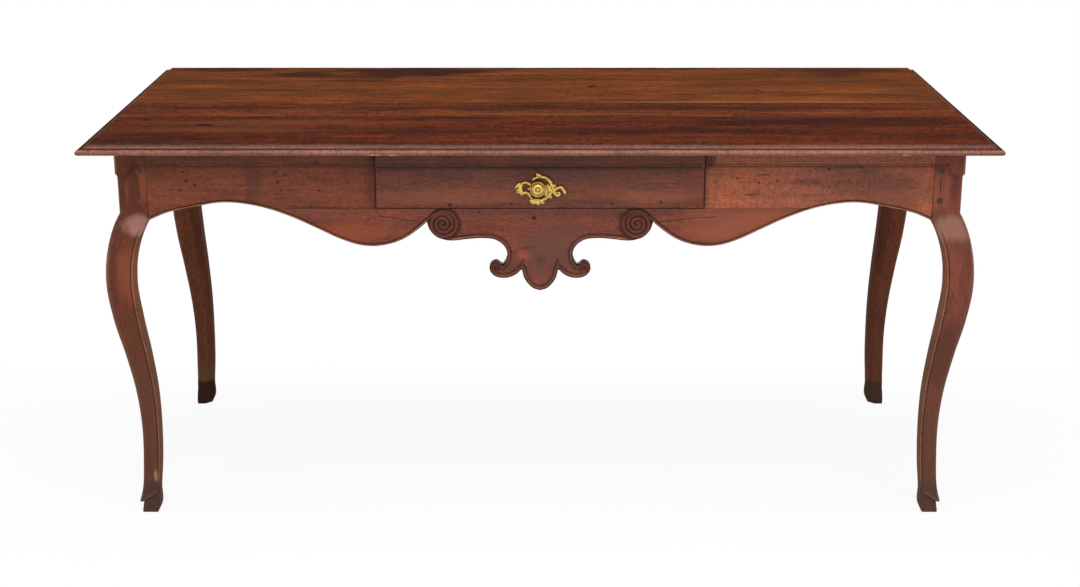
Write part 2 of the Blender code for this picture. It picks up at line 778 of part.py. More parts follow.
def tail_outline(middle, grow=0.0, reach=0.0):
    """A dovetail in Y and Z from the side's front end. A socket grows by its clearance and reaches back."""
    root, tip = TAIL_ROOT / 2 + grow, TAIL_TIP / 2 + grow
    start = DRAWER_FRONT_BACK + FIT + reach
    end = DRAWER_FRONT_BACK - TAIL_LENGTH - grow
    return [(start, middle + root), (end, middle + tip), (end, middle - tip), (start, middle - root)]


def tail_middles():
    pitch = SIDE_HEIGHT / TAIL_COUNT
    return [SIDE_BOTTOM + pitch * (k + 0.5) for k in range(TAIL_COUNT)]


def drawer(axis):
    """The drawer's box. Its pieces move with the empty on the slide's axis."""
    front_low = SEAM + DRAWER_GAP
    front_high = UNDERSIDE - DRAWER_GAP
    front = box(
        "drawer_front",
        (-DRAWER_HALF, DRAWER_FACE - STRIP_PROUD, front_low),
        (DRAWER_HALF, DRAWER_FRONT_BACK, front_high),
    )
    relief_low = DRAWER_FACE - STRIP_PROUD - CUT
    relief = (-HALF_LENGTH, HALF_LENGTH, 0.0, STRIP_BOTTOM, relief_low, DRAWER_FACE)
    cut(front, front_box("drawer_front_relief", *relief))
    groove_half = SIDE_INNER + GROOVE_DEPTH
    front_groove = front_box(
        "drawer_front_groove",
        -groove_half - FIT,
        groove_half + FIT,
        BOTTOM_LOW - FIT,
        BOTTOM_HIGH + FIT,
        DRAWER_FRONT_BACK - GROOVE_DEPTH,
        DRAWER_FRONT_BACK + CUT,
    )
    cut(front, front_groove)
    start = DRAWER_FRONT_BACK + FIT
    back_high = DRAWER_END - BACK_INSET
    back_low = back_high - BACK_THICKNESS
    pieces = [finish(front, FRAME_WOOD)]
    for name, side in SIDES.items():
        outline = [(start, SIDE_BOTTOM)]
        for middle in tail_middles():
            outline += reversed(tail_outline(middle))
        outline += [(start, SIDE_TOP), (DRAWER_END, SIDE_TOP), (DRAWER_END, SIDE_BOTTOM)]
        place = Matrix.Translation((side * (SIDE_OUTER + SIDE_INNER) / 2, 0, 0)) @ SIDE_PLANE
        board = plate(f"drawer_side_{name}", [outline], SIDE_THICKNESS, place)
        for count, middle in enumerate(tail_middles()):
            socket_inner = SIDE_INNER - FIT
            socket_outer = DRAWER_HALF + CUT
            socket = plate(
                f"drawer_socket_{name}_{count}",
                [tail_outline(middle, FIT, CUT)],
                socket_outer - socket_inner,
                Matrix.Translation((side * (socket_outer + socket_inner) / 2, 0, 0)) @ SIDE_PLANE,
            )
            cut(front, socket)
        x = sorted((side * (SIDE_INNER - CUT), side * (groove_half + FIT)))
        cut(
            board,
            front_box(
                f"drawer_groove_{name}",
                *x,
                BOTTOM_LOW - FIT,
                BOTTOM_HIGH + FIT,
                DRAWER_FRONT_BACK - GROOVE_DEPTH,
                DRAWER_END + CUT,
            ),
            front_box(
                f"drawer_housing_{name}",
                *x,
                BOTTOM_HIGH,
                SIDE_TOP + CUT,
                back_low - FIT,
                back_high + FIT,
            ),
        )
        pieces.append(finish(board, INNER_WOOD))
    back = box(
        "drawer_back",
        (-groove_half, back_low, BOTTOM_HIGH + FIT),
        (groove_half, back_high, SIDE_TOP - BACK_BELOW_SIDE),
    )
    bottom = box(
        "drawer_bottom",
        (-groove_half, DRAWER_FRONT_BACK - GROOVE_DEPTH + FIT, BOTTOM_LOW),
        (groove_half, DRAWER_END, BOTTOM_HIGH),
    )
    pieces += [finish(back, INNER_WOOD), finish(bottom, INNER_WOOD), *pull(front)]
    bpy.context.view_layer.update()
    for piece in pieces:
        place = piece.matrix_world.copy()
        piece.parent = axis
        piece.matrix_world = place


def facing_front(x, y, z):
    """Turns local +Z to the front."""
    return Matrix.Translation((x, y, z)) @ Matrix.Rotation(math.radians(90), 4, "X")


def pull(front):
    """Back plate, knob with its washer and nut, and the plate's pins."""
    hole_radius = KNOB_SHANK_RADIUS + FIT
    circle = [math.tau * k / SMALL_SIDES for k in range(SMALL_SIDES)]
    openings = [
        [(hole_radius * math.cos(a), hole_radius * math.sin(a)) for a in circle],
        curve_through(PLATE_LEFT_HOLE, HOLE_STEPS, closed=True),
        curve_through(PLATE_TOP_HOLE, HOLE_STEPS, closed=True),
    ]
    for x, z in (PIN_LEFT, PIN_RIGHT):
        radius = PIN_RADIUS + FIT
        openings.append([(x + radius * math.cos(a), z + radius * math.sin(a)) for a in circle])
    outline = curve_through(PLATE_OUTLINE, PLATE_STEPS, closed=True)
    place = facing_front(KNOB_X, PLATE_BACK - PLATE_THICKNESS / 2, KNOB_Z)
    back_plate = plate("knob_back_plate", [outline, *openings], PLATE_THICKNESS, place)
    washer_front = DRAWER_FRONT_BACK + FIT
    nut_front = washer_front + WASHER_THICKNESS + FIT
    shank_end = nut_front + NUT_THICKNESS + SHANK_PAST_NUT
    seat = PLATE_FACE - FIT
    profile = [(0.0, KNOB_PROFILE[0][1]), *KNOB_PROFILE]
    profile += [(KNOB_SHANK_RADIUS, 0.0), (KNOB_SHANK_RADIUS, seat - shank_end), (0.0, seat - shank_end)]
    knob = turned("drawer_knob", profile, KNOB_SIDES, facing_front(KNOB_X, seat, KNOB_Z))

    def on_axis(name, radius, front_y, back_y, sides):
        return rod(name, radius, (KNOB_X, front_y, KNOB_Z), (KNOB_X, back_y, KNOB_Z), sides)

    shank_hole = on_axis("knob_hole", hole_radius, DRAWER_FACE - CUT, shank_end + CUT, KNOB_SIDES)
    washer = on_axis("knob_washer", WASHER_RADIUS, washer_front, washer_front + WASHER_THICKNESS, PEG_SIDES)
    nut = on_axis("knob_nut", NUT_RADIUS, nut_front, nut_front + NUT_THICKNESS, NUT_SIDES)
    for piece in (front, washer, nut):
        cut(piece, shank_hole)
    pins = []
    for name, (x, z) in (("left", PIN_LEFT), ("right", PIN_RIGHT)):
        turns = [math.radians(90) * step / PIN_HEAD_STEPS for step in range(PIN_HEAD_STEPS + 1)]
        head = [(PIN_HEAD_RADIUS * math.sin(a), PIN_HEAD_RADIUS * math.cos(a)) for a in turns]
        pin_profile = [*head, (PIN_RADIUS, 0.0), (PIN_RADIUS, -PIN_LENGTH), (0.0, -PIN_LENGTH)]
        place = facing_front(KNOB_X + x, seat, KNOB_Z + z)
        pins.append(turned(f"plate_pin_{name}", pin_profile, SMALL_SIDES, place))
        bore = rod(
            f"plate_pin_{name}_hole",
            PIN_RADIUS + FIT,
            (KNOB_X + x, DRAWER_FACE - CUT, KNOB_Z + z),
            (KNOB_X + x, seat + PIN_LENGTH + FIT, KNOB_Z + z),
            SMALL_SIDES,
        )
        cut(front, bore)
    pieces = [back_plate, knob, washer, nut, *pins]
    return [finish(piece, BRASS) for piece in pieces]


def carriage(front, back):
    """Runners, guides, kickers and stops that carry the drawer."""
    y_front, y_back = -APRON_INNER + FIT, APRON_INNER - FIT
    runner_low = RUNNER_TOP - RUNNER_HEIGHT
    stub_low = runner_low + (RUNNER_HEIGHT - RUNNER_STUB_HEIGHT) / 2
    stub_high = stub_low + RUNNER_STUB_HEIGHT
    ahead, behind = y_front - FIT - RUNNER_STUB, y_back + FIT + RUNNER_STUB
    outline = [
        (y_front, runner_low),
        (y_back, runner_low),
        (y_back, stub_low),
        (behind, stub_low),
        (behind, stub_high),
        (y_back, stub_high),
        (y_back, RUNNER_TOP),
        (y_front, RUNNER_TOP),
        (y_front, stub_high),
        (ahead, stub_high),
        (ahead, stub_low),
        (y_front, stub_low),
    ]
    kicker_front = max(y_front, DRAWER_FRONT_BACK + KICKER_GAP)
    for name, side in SIDES.items():
        inner = SIDE_OUTER - RUNNER_BEARING
        outer = inner + RUNNER_WIDTH
        place = Matrix.Translation((side * (inner + outer) / 2, 0, 0)) @ SIDE_PLANE
        finish(plate(f"drawer_runner_{name}", [outline], RUNNER_WIDTH, place), INNER_WOOD)
        x = sorted((side * (inner - FIT), side * (outer + FIT)))
        room = (*x, stub_low - FIT, stub_high + FIT)
        cut(front["lower"], front_box(f"runner_mortise_front_{name}", *room, ahead - FIT, y_front + CUT))
        cut(back, front_box(f"runner_mortise_back_{name}", *room, y_back - CUT, behind + FIT))
        guide_x = sorted((side * OPENING_HALF, side * (OPENING_HALF + GUIDE_WIDTH)))
        guide_z = (RUNNER_TOP + FIT, RUNNER_TOP + FIT + GUIDE_HEIGHT)
        finish(front_box(f"drawer_guide_{name}", *guide_x, *guide_z, y_front, y_back), INNER_WOOD)
        kicker_x = sorted((side * SIDE_INNER, side * (SIDE_INNER + KICKER_WIDTH)))
        kicker_z = (SIDE_TOP + KICKER_GAP, FRAME_TOP)
        finish(front_box(f"drawer_kicker_{name}", *kicker_x, *kicker_z, kicker_front, y_back), INNER_WOOD)
        stop_x = sorted((side * inner, side * (OPENING_HALF - FIT)))
        stop_z = (RUNNER_TOP + FIT, RUNNER_TOP + FIT + STOP_HEIGHT)
        stop_y = (DRAWER_END + FIT, DRAWER_END + FIT + STOP_LENGTH)
        finish(front_box(f"drawer_stop_{name}", *stop_x, *stop_z, *stop_y), INNER_WOOD)


def main():
    boards = top_boards()
    front, back, side_aprons = legs_and_aprons()
    top_pegs(boards, side_aprons)
    carriage(front, back)
    slide = bpy.data.objects.new("drawer_slide", None)
    slide.location = (0.0, DRAWER_FACE, KNOB_Z)
    PARTS.objects.link(slide)
    drawer(slide)


main()
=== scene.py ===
"""Looks of the writing table: worked and worn wood, the brass pull, a plain studio and the camera.

Metres, +Z up. The floor is at Z = 0 under the middle of the top, the front faces -Y and left is -X.
Profiles and ornament are written in millimetres and named so.
"""

import math

import bmesh
import bpy
import numpy as np
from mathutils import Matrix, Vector, geometry, kdtree, noise


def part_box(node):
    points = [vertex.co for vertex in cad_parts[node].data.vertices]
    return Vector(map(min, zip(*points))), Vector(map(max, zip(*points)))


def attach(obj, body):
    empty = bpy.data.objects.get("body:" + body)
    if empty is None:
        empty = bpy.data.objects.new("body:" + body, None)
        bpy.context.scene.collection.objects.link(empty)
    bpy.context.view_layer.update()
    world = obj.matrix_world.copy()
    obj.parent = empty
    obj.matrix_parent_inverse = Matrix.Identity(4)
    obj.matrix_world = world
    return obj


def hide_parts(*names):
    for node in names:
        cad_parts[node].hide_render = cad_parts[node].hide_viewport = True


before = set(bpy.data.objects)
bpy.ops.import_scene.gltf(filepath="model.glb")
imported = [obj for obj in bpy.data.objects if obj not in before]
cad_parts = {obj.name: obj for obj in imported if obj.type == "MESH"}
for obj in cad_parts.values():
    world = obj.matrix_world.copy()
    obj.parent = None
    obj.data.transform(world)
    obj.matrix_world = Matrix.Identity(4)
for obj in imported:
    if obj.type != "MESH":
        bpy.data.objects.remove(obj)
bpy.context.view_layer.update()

MM = 0.001
WELD = 0.000002
SHARP_ANGLE = 40  # degrees

# Sizes of the part, from its boxes and its own drawing
TOP_LOW, TOP_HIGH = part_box("top_board_front")[0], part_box("top_board_back")[1]
UNDERSIDE, HEIGHT = TOP_LOW.z, TOP_HIGH.z
HALF_TOP_X, HALF_TOP_Y = TOP_HIGH.x, TOP_HIGH.y
END_OVERHANG = 0.051
FRONT_OVERHANG = 0.095
FIT = 0.0003  # gap between pieces that touch
HALF_LENGTH = HALF_TOP_X - END_OVERHANG
HALF_DEPTH = HALF_TOP_Y - FRONT_OVERHANG
FRAME_TOP = UNDERSIDE - FIT
BLOCK = 0.055
BLOCK_BOTTOM = FRAME_TOP - 0.131
STRIP_BOTTOM = FRAME_TOP - 0.035
JOINT_X = HALF_LENGTH - BLOCK
JOINT_Y = HALF_DEPTH - BLOCK
APRON_THICKNESS = 0.022
SEAM = UNDERSIDE - 0.121  # glue line between the upper and lower front boards
OPENING_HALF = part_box("apron_front_right")[0].x
DRAWER_LOW, DRAWER_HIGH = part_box("drawer_front")
DRAWER_PROUD = 0.004  # of the drawer's face before the aprons
PLATE_LOW, PLATE_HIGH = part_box("knob_back_plate")
KNOB_LOW, KNOB_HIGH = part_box("drawer_knob")
KNOB_X = (KNOB_LOW.x + KNOB_HIGH.x) / 2
KNOB_Z = (KNOB_LOW.z + KNOB_HIGH.z) / 2
SIDES = {"left": -1, "right": 1}
ENDS = {"front": -1, "back": 1}


# Shapes


def curve_through(points, steps):
    """Points on a smooth curve through the given ones, with their ends."""
    points = np.array(points, float)
    points = np.vstack([2 * points[0] - points[1], points, 2 * points[-1] - points[-2]])
    ways = np.diff(points, axis=0)
    spans = np.linalg.norm(ways, axis=1)
    slopes = ways / spans[:, None]
    t = (np.arange(steps) / steps)[:, None]
    found = []
    for i in range(1, len(points) - 2):
        before, here, after = spans[i - 1 : i + 2]
        start = (slopes[i - 1] * here + slopes[i] * before) / (before + here)
        end = (slopes[i] * after + slopes[i + 1] * here) / (here + after)
        found.append(
            points[i] * (1 + 2 * t) * (1 - t) ** 2
            + start * here * t * (1 - t) ** 2
            + points[i + 1] * t * t * (3 - 2 * t)
            - end * here * t * t * (1 - t)
        )
    found.append(points[-2:-1])
    return np.vstack(found)


def spaced(points, spacing):
    """The same line with evenly spaced points."""
    points = np.array(points, float)
    run = np.concatenate([[0.0], np.cumsum(np.linalg.norm(np.diff(points, axis=0), axis=1))])
    at = np.linspace(0.0, run[-1], max(2, int(math.ceil(run[-1] / spacing)) + 1))
    return np.stack([np.interp(at, run, column) for column in points.T], axis=1)


def smooth_step(value, low, high):
    t = np.clip((value - low) / (high - low), 0.0, 1.0)
    return t * t * (3 - 2 * t)


def waver(points, scale, seed):
    """Soft noise from about -1 to 1 at each point; scale is in waves per metre along each axis."""
    places = np.asarray(points, float) * np.asarray(scale, float) + seed
    return np.array([noise.noise(Vector(place)) for place in places])


def face_outward(mesh, weld=0.0):
    """Turns all faces outward; weld joins points that are nearer than that."""
    work = bmesh.new()
    work.from_mesh(mesh)
    if weld:
        bmesh.ops.remove_doubles(work, verts=work.verts, dist=weld)
    bmesh.ops.recalc_face_normals(work, faces=work.faces)
    work.to_mesh(mesh)
    work.free()


def tube_faces(start, rings, sides):
    """Faces of a closed tube: rings of points, the first at index start, and both ends."""
    faces = []
    for level in range(rings - 1):
        a, b = start + level * sides, start + (level + 1) * sides
        for i in range(sides):
            k = (i + 1) % sides
            faces.append((a + i, a + k, b + k, b + i))
    last = start + (rings - 1) * sides
    return faces + [list(range(start, start + sides)), list(range(last, last + sides))]


def piece(name, points, faces, material, body="frame", replaces=(), marks=None):
    """A closed mesh that rides on a body. marks are named values at the points, for the material."""
    mesh = bpy.data.meshes.new(name)
    mesh.from_pydata([tuple(point) for point in points], [], [tuple(face) for face in faces])
    for key, values in (marks or {}).items():
        mesh.attributes.new(key, "FLOAT", "POINT").data.foreach_set("value", np.asarray(values, np.float32))
    face_outward(mesh, WELD)
    return shown(name, mesh, material, body, replaces)


def shown(name, mesh, material, body, replaces=()):
    mesh.shade_smooth()
    mesh.set_sharp_from_angle(angle=math.radians(SHARP_ANGLE))
    mesh.materials.clear()
    mesh.materials.append(material)
    part = bpy.data.objects.new(name, mesh)
    bpy.context.scene.collection.objects.link(part)
    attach(part, body)
    if replaces:
        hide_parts(*replaces)
    return part


# Materials


class Look:
    """The nodes of a material or world under construction; place is in the row's own metres in a material."""

    def __init__(self, holder, shader="Principled BSDF", place="Object"):
        holder.use_nodes = True
        self.holder = holder
        self.nodes = holder.node_tree.nodes
        self.links = holder.node_tree.links
        self.shader = self.nodes[shader]
        self.place = self.nodes.new("ShaderNodeTexCoord").outputs[place]

    def feed(self, socket, value):
        if isinstance(value, bpy.types.NodeSocket):
            self.links.new(value, socket)
        elif socket.type == "RGBA":
            socket.default_value = (*value[:3], 1.0)
        else:
            socket.default_value = value

    def node(self, kind, values, **settings):
        node = self.nodes.new("ShaderNode" + kind)
        for key, value in settings.items():
            setattr(node, key, value)
        for key, value in values.items():
            self.feed(node.inputs[key], value)
        return node

    def math(self, operation, *values):
        return self.node("Math", dict(enumerate(values)), operation=operation).outputs[0]

    def total(self, *pairs):
        """The sum of each value times its weight."""
        result = 0.0
        for value, weight in pairs:
            result = self.math("MULTIPLY_ADD", value, weight, result)
        return result

    def ramp(self, value, low, high, start=0.0, end=1.0):
        """Carries low..high smoothly to start..end."""
        values = {"Value": value, "From Min": low, "From Max": high, "To Min": start, "To Max": end}
        return self.node("MapRange", values, interpolation_type="SMOOTHSTEP").outputs["Result"]

    def mix(self, share, first, second, blend="MIX"):
        values = {0: share, 6: first, 7: second}
        return self.node("Mix", values, data_type="RGBA", blend_type=blend).outputs[2]

    def colours(self, value, *stops):
        """A colour ramp from (position, colour) stops."""
        node = self.node("ValToRGB", {"Fac": value})
        elements = node.color_ramp.elements
        while len(elements) < len(stops):
            elements.new(1.0)
        for element, (position, colour) in zip(elements, stops):
            element.position = position
            element.color = (*colour, 1.0)
        return node.outputs["Color"]

    def noise(self, scale, seed, detail=3.0, rough=0.55, bend=0.0, place=None):
        """Noise with this many waves per metre along each axis."""
        values = {"Vector": place or self.place, "Scale": scale, "Location": (seed, seed * 1.7, seed * 0.6)}
        at = self.node("Mapping", values).outputs[0]
        values = {"Vector": at, "Scale": 1.0, "Detail": detail, "Roughness": rough, "Distortion": bend}
        return self.node("TexNoise", values).outputs["Fac"]

    def mark(self, name):
        return self.node("Attribute", {}, attribute_name=name).outputs["Fac"]

    def spots(self, spots, ragged=None):
        """Where any of the spots lies: (centre, radii, strength) each; ragged is noise for their edges."""
        found = None
        for centre, radii, strength in spots:
            scale = [1.0 / radius for radius in radii]
            shift = [-c * s for c, s in zip(centre, scale)]
            at = self.node("Mapping", {"Vector": self.place, "Scale": scale, "Location": shift}).outputs[0]
            away = self.node("VectorMath", {0: at}, operation="LENGTH").outputs["Value"]
            if ragged is not None:
                away = self.math("MULTIPLY_ADD", ragged, 1.9, self.math("ADD", away, -0.95))
            here = self.ramp(away, 1.0, 0.35, 0.0, strength)
            found = here if found is None else self.math("MAXIMUM", found, here)
        return found

    def bump(self, height, distance, strength):
        values = {"Height": height, "Distance": distance, "Strength": strength}
        self.feed(self.shader.inputs["Normal"], self.node("Bump", values).outputs[0])

    def set(self, **values):
        for key, value in values.items():
            self.feed(self.shader.inputs[key.replace("_", " ")], value)


# Near-black colour of holes, knots, cracks and joints, and of the painted shade in hollows
SHADE_AND_GRIME = (0.014, 0.007, 0.005)
SMUDGE = (0.045, 0.016, 0.010)
# Colours of worn edges and crests, also used for the painted highlight on the fillet under the strips
WORN_AND_LIT = (0.32, 0.140, 0.065)
EDGE_WORN_AND_LIT = (0.36, 0.190, 0.100)
FAR = 9.0  # radius of a mark across a board's whole thickness
MOTTLE = 0.8  # strength of the warm and cool patches
GRAIN_DEPTH = 0.0006
GRAIN_RELIEF = 0.35


def times(tone, factor):
    return tuple(value * factor for value in tone)


def wood(name, along, seed, tone, **options):
    """Old polished wood with its grain along one axis (0, 1 or 2); tone is its mean colour.

    options: sheen is the specular level and rough the lowest and highest roughness; long is the streaks per
    metre along the grain; deep and pale are factors for the darkest and lightest grain; flecks and cross are
    strengths of the dark dashes and of the fine marks across the grain; dash and speck are waves per metre,
    along and across, of the dashes and of the finest mottling; weights are those of the streaks, waves, fine
    grain, clouds, wisps and specks; rubbed is the colour of worn places and of painted highlights, and
    hoof_tone that of the hoof; marks are (colour, ragged, spots), where ragged names the noise that breaks
    their edges and spots are as in Look.spots.
    """
    look = Look(bpy.data.materials.new(name))
    long = options.get("long", 3.2)
    dark = times(tone, options.get("deep", 0.45))
    light = times(tone, options.get("pale", 1.55))

    def scale(lengthwise, across):
        return [lengthwise if axis == along else across for axis in range(3)]

    wave = look.noise(scale(0.4 * long, 9.0), seed, 2.0, 0.5, 0.3)
    streak = look.noise(scale(long, 46.0), seed + 3.1, 7.0, 0.66, 0.3)
    fine = look.noise(scale(14.0, 330.0), seed + 7.7, 4.0, 0.62, 0.1)
    pores = look.noise(scale(70.0, 1400.0), seed + 5.2, 1.5, 0.5)
    fleck = look.noise(scale(*options.get("dash", (26.0, 400.0))), seed + 6.1, 2.0, 0.5)
    cloud = look.noise(scale(2.2 * long, 19.0), seed + 9.4, 6.0, 0.62, 0.3)
    patch = look.noise(scale(1.5 * long, 15.0), seed + 15.8, 5.0, 0.60, 0.4)
    grit = look.noise((520.0, 520.0, 520.0), seed + 1.3, 2.0, 0.6)
    noises = {"cloud": cloud, "streak": streak, "grit": grit}
    wisp = look.noise(scale(3.6 * long, 75.0), seed + 18.6, 5.0, 0.70, 0.4)
    speck = look.noise(scale(*options.get("speck", (110.0, 240.0))), seed + 12.3, 3.0, 0.65)
    weights = options.get("weights", (0.26, 0.18, 0.20, 0.18, 0.16, 0.42))
    parts = tuple(zip((streak, wave, fine, cloud, wisp, speck), weights))
    centre = 0.5 * sum(weight for _, weight in parts)
    figure = look.total(*parts)
    colour = look.colours(figure, (centre - 0.17, dark), (centre, tone), (centre + 0.17, light))
    hues = ((0.34, (0.80, 0.90, 1.08)), (0.50, (1.0, 1.0, 1.0)), (0.66, (1.28, 1.16, 0.92)))
    colour = look.mix(MOTTLE, colour, look.colours(patch, *hues), "MULTIPLY")
    colour = look.mix(look.ramp(pores, 0.56, 0.70, 0.0, 0.5), colour, dark)
    colour = look.mix(look.ramp(fleck, 0.60, 0.72, 0.0, options.get("flecks", 0.5)), colour, times(dark, 0.7))
    cross = options.get("cross", 0.0)
    if cross:
        rays = look.noise(scale(240.0, 24.0), seed + 2.6, 3.0, 0.6)
        where = look.ramp(patch, 0.40, 0.60, 0.0, 1.0)
        share = look.math("MULTIPLY", look.ramp(rays, 0.48, 0.68, 0.0, cross), where)
        colour = look.mix(share, colour, dark)
    for mark_tone, ragged, spots in options.get("marks", ()):
        colour = look.mix(look.spots(spots, noises[ragged]), colour, mark_tone)
    hoof = look.math("MULTIPLY", look.mark("hoof"), look.ramp(cloud, 0.25, 0.75, 1.0, 0.80))
    colour = look.mix(hoof, colour, options.get("hoof_tone", SHADE_AND_GRIME))
    # Wear on edges and crests, plus painted highlights on the top's cove and nose and on the fillet under the
    # strips
    worn = look.math("MULTIPLY", look.mark("wear_and_highlight"), look.ramp(cloud, 0.36, 0.62, 0.55, 1.0))
    worn = look.math("MULTIPLY", worn, look.ramp(speck, 0.35, 0.62, 0.55, 1.1))
    colour = look.mix(worn, colour, options.get("rubbed", WORN_AND_LIT))
    # Painted shade in quirks, grooves, gaps and creases, and real grime in joints and cracks, from the mesh's
    # darkening mark
    shade_and_grime = look.math("MULTIPLY", look.mark("dirt_and_shade"), look.ramp(grit, 0.30, 0.62, 0.78, 1.0))
    colour = look.mix(shade_and_grime, colour, SHADE_AND_GRIME)
    low, high = options.get("rough", (0.36, 0.52))
    rough = look.total(
        (look.ramp(cloud, 0.3, 0.7, low, high), 1.0), (shade_and_grime, 0.25), (fine, 0.08), (look.mark("dull"), 0.6)
    )
    look.set(Base_Color=colour, Roughness=rough, Specular_IOR_Level=options.get("sheen", 0.14))
    height = look.total((fine, 0.45), (pores, -0.35), (streak, 0.25), (grit, 0.12))
    look.bump(height, GRAIN_DEPTH, GRAIN_RELIEF)
    return look.holder


def brass(name):
    look = Look(bpy.data.materials.new(name))
    cloud = look.noise((160.0, 160.0, 160.0), 4.0, 4.0, 0.6)
    grit = look.noise((900.0, 900.0, 900.0), 8.0, 3.0, 0.6)
    colour = look.colours(
        cloud, (0.30, (0.43, 0.275, 0.060)), (0.52, (0.56, 0.385, 0.105)), (0.72, (0.70, 0.520, 0.190))
    )
    # Darker in hollows: tarnish and painted shade
    colour = look.mix(look.mark("dirt_and_shade"), colour, (0.10, 0.050, 0.008))
    rough = look.total((look.ramp(cloud, 0.3, 0.7, 0.36, 0.48), 1.0), (look.mark("dirt_and_shade"), 0.25))
    look.set(Base_Color=colour, Metallic=1.0, Roughness=rough)
    look.bump(look.total((grit, 0.4), (cloud, 1.0)), GRAIN_DEPTH, GRAIN_RELIEF)
    return look.holder


def on_top(spots):
    """Marks on the top: (x, y, half length, half width, strength)."""
    return [((x, y, HEIGHT), (long, wide, FAR), strength) for x, y, long, wide, strength in spots]


def on_front(spots):
    """Marks on the front: (x, z, half length, half height, strength)."""
    return [((x, -HALF_DEPTH, z), (long, FAR, tall), strength) for x, z, long, tall, strength in spots]


def worm_holes(places):
    """Dark holes on the front: (x, z, radius in mm)."""
    spots = on_front([(x, z, radius * MM, 0.85 * radius * MM, 1.0) for x, z, radius in places])
    return (SHADE_AND_GRIME, "grit", spots)


def knots(spots):
    return (SHADE_AND_GRIME, "cloud", on_top(spots))


def chips(places):
    """Broken edge of the nose, on the front: (x, half length)."""
    spots = [((x, -HALF_TOP_Y, UNDERSIDE + 0.0015), (long, 0.006, 0.0024), 1.0) for x, long in places]
    return ((0.50, 0.24, 0.095), "grit", spots)


# The top's lighter tone is the colour of the painted sheen on the cove and the painted highlights on the nose
TOP_FINISH = {
    "sheen": 0.25, "rough": (0.28, 0.38), "long": 2.4, "deep": 0.36, "pale": 1.80, "flecks": 0.6,
    "dash": (45.0, 70.0), "speck": (220.0, 95.0), "weights": (0.30, 0.18, 0.06, 0.22, 0.48, 0.52),
    "rubbed": (0.240, 0.100, 0.063),
}
TOP_DARK_FINISH = {**TOP_FINISH, "weights": (0.30, 0.18, 0.06, 0.22, 0.42, 0.66)}
TOP_BACK_WOOD = wood(
    "top_wood_back", 0, 2.0, (0.156, 0.0415, 0.0098), **TOP_FINISH,
    marks=(
        ((0.036, 0.011, 0.006), "cloud", on_top((
            (-0.27, 0.361, 0.21, 0.105, 0.9), (-0.514, 0.312, 0.09, 0.040, 0.8),
            (-0.70, 0.386, 0.12, 0.040, 0.7), (0.10, 0.402, 0.75, 0.035, 0.6),
            (0.70, 0.361, 0.14, 0.045, 0.6), (0.668, 0.312, 0.07, 0.025, 0.5),
            (-0.40, 0.239, 0.12, 0.018, 0.6), (0.0, 0.418, FAR, 0.022, 0.9),
        ))),
        ((0.36, 0.130, 0.038), "streak", on_top((
            (0.0, -0.014, 0.9, 0.010, 0.55), (0.42, -0.002, 0.40, 0.012, 0.80),
            (-0.40, 0.396, 0.07, 0.018, 0.35),
        ))),
        knots((
            (0.111, 0.171, 0.013, 0.011, 0.9), (0.454, 0.132, 0.011, 0.009, 0.7),
            (0.703, 0.081, 0.010, 0.009, 0.7), (-0.769, 0.057, 0.011, 0.010, 0.8),
        )),
    ),
)
TOP_MIDDLE_WOOD = wood(
    "top_wood_middle", 0, 11.0, (0.119, 0.0270, 0.0080), **TOP_DARK_FINISH,
    marks=(
        ((0.036, 0.010, 0.006), "cloud", on_top((
            (0.0, -0.060, 0.9, 0.030, 0.55), (0.10, -0.159, 0.9, 0.010, 0.8),
        ))),
        ((0.24, 0.078, 0.022), "streak", on_top((
            (0.0, -0.124, 0.36, 0.012, 0.50), (0.55, -0.110, 0.20, 0.010, 0.30),
        ))),
        knots(((-0.722, -0.070, 0.011, 0.010, 0.8), (-0.10, -0.138, 0.045, 0.006, 0.6))),
    ),
)
TOP_FRONT_WOOD = wood(
    "top_wood_front", 0, 23.0, (0.080, 0.0155, 0.0052), **TOP_DARK_FINISH,
    marks=(
        ((0.18, 0.058, 0.018), "cloud", on_top((
            (-0.50, -0.207, 0.40, 0.035, 0.45), (-0.62, -0.272, 0.28, 0.030, 0.4),
            (0.10, -0.181, 0.30, 0.012, 0.3),
        ))),
        ((0.026, 0.007, 0.0045), "cloud", on_top((
            (-0.134, -0.162, 0.14, 0.012, 0.8), (-0.270, -0.179, 0.08, 0.010, 0.7),
            (0.295, -0.251, 0.07, 0.030, 0.7), (0.366, -0.226, 0.03, 0.015, 0.8),
            (0.55, -0.207, 0.45, 0.055, 0.6), (0.15, -0.288, 0.5, 0.030, 0.4),
        ))),
        knots((
            (-0.640, -0.228, 0.024, 0.013, 1.0), (-0.635, -0.318, 0.011, 0.009, 0.8),
            (-0.764, -0.179, 0.011, 0.010, 0.7), (-0.745, -0.318, 0.010, 0.008, 0.7),
        )),
        chips(((-0.300, 0.018), (-0.266, 0.014), (0.664, 0.010))),
    ),
)
APRON_LEFT_WOOD = wood(
    "frame_wood_left", 0, 31.0, (0.138, 0.0350, 0.0158), cross=0.30, rubbed=EDGE_WORN_AND_LIT,
    marks=(
        (SMUDGE, "cloud", on_front((
            (-0.536, 0.68, 0.024, 0.110, 0.45), (-0.60, 0.725, 0.20, 0.016, 0.35),
            (-0.34, 0.700, 0.05, 0.04, 0.35),
        ))),
        worm_holes((
            (-0.662, 0.6745, 4.6), (-0.647, 0.667, 4.0), (-0.6735, 0.657, 3.4), (-0.496, 0.690, 4.0),
            (-0.4775, 0.686, 3.0), (-0.491, 0.672, 4.4), (-0.486, 0.656, 3.0), (-0.414, 0.656, 4.4),
            (-0.4176, 0.711, 5.6), (-0.4315, 0.6255, 3.4), (-0.668, 0.692, 2.6), (-0.56, 0.664, 2.4),
            (-0.36, 0.672, 2.4),
        )),
    ),
)
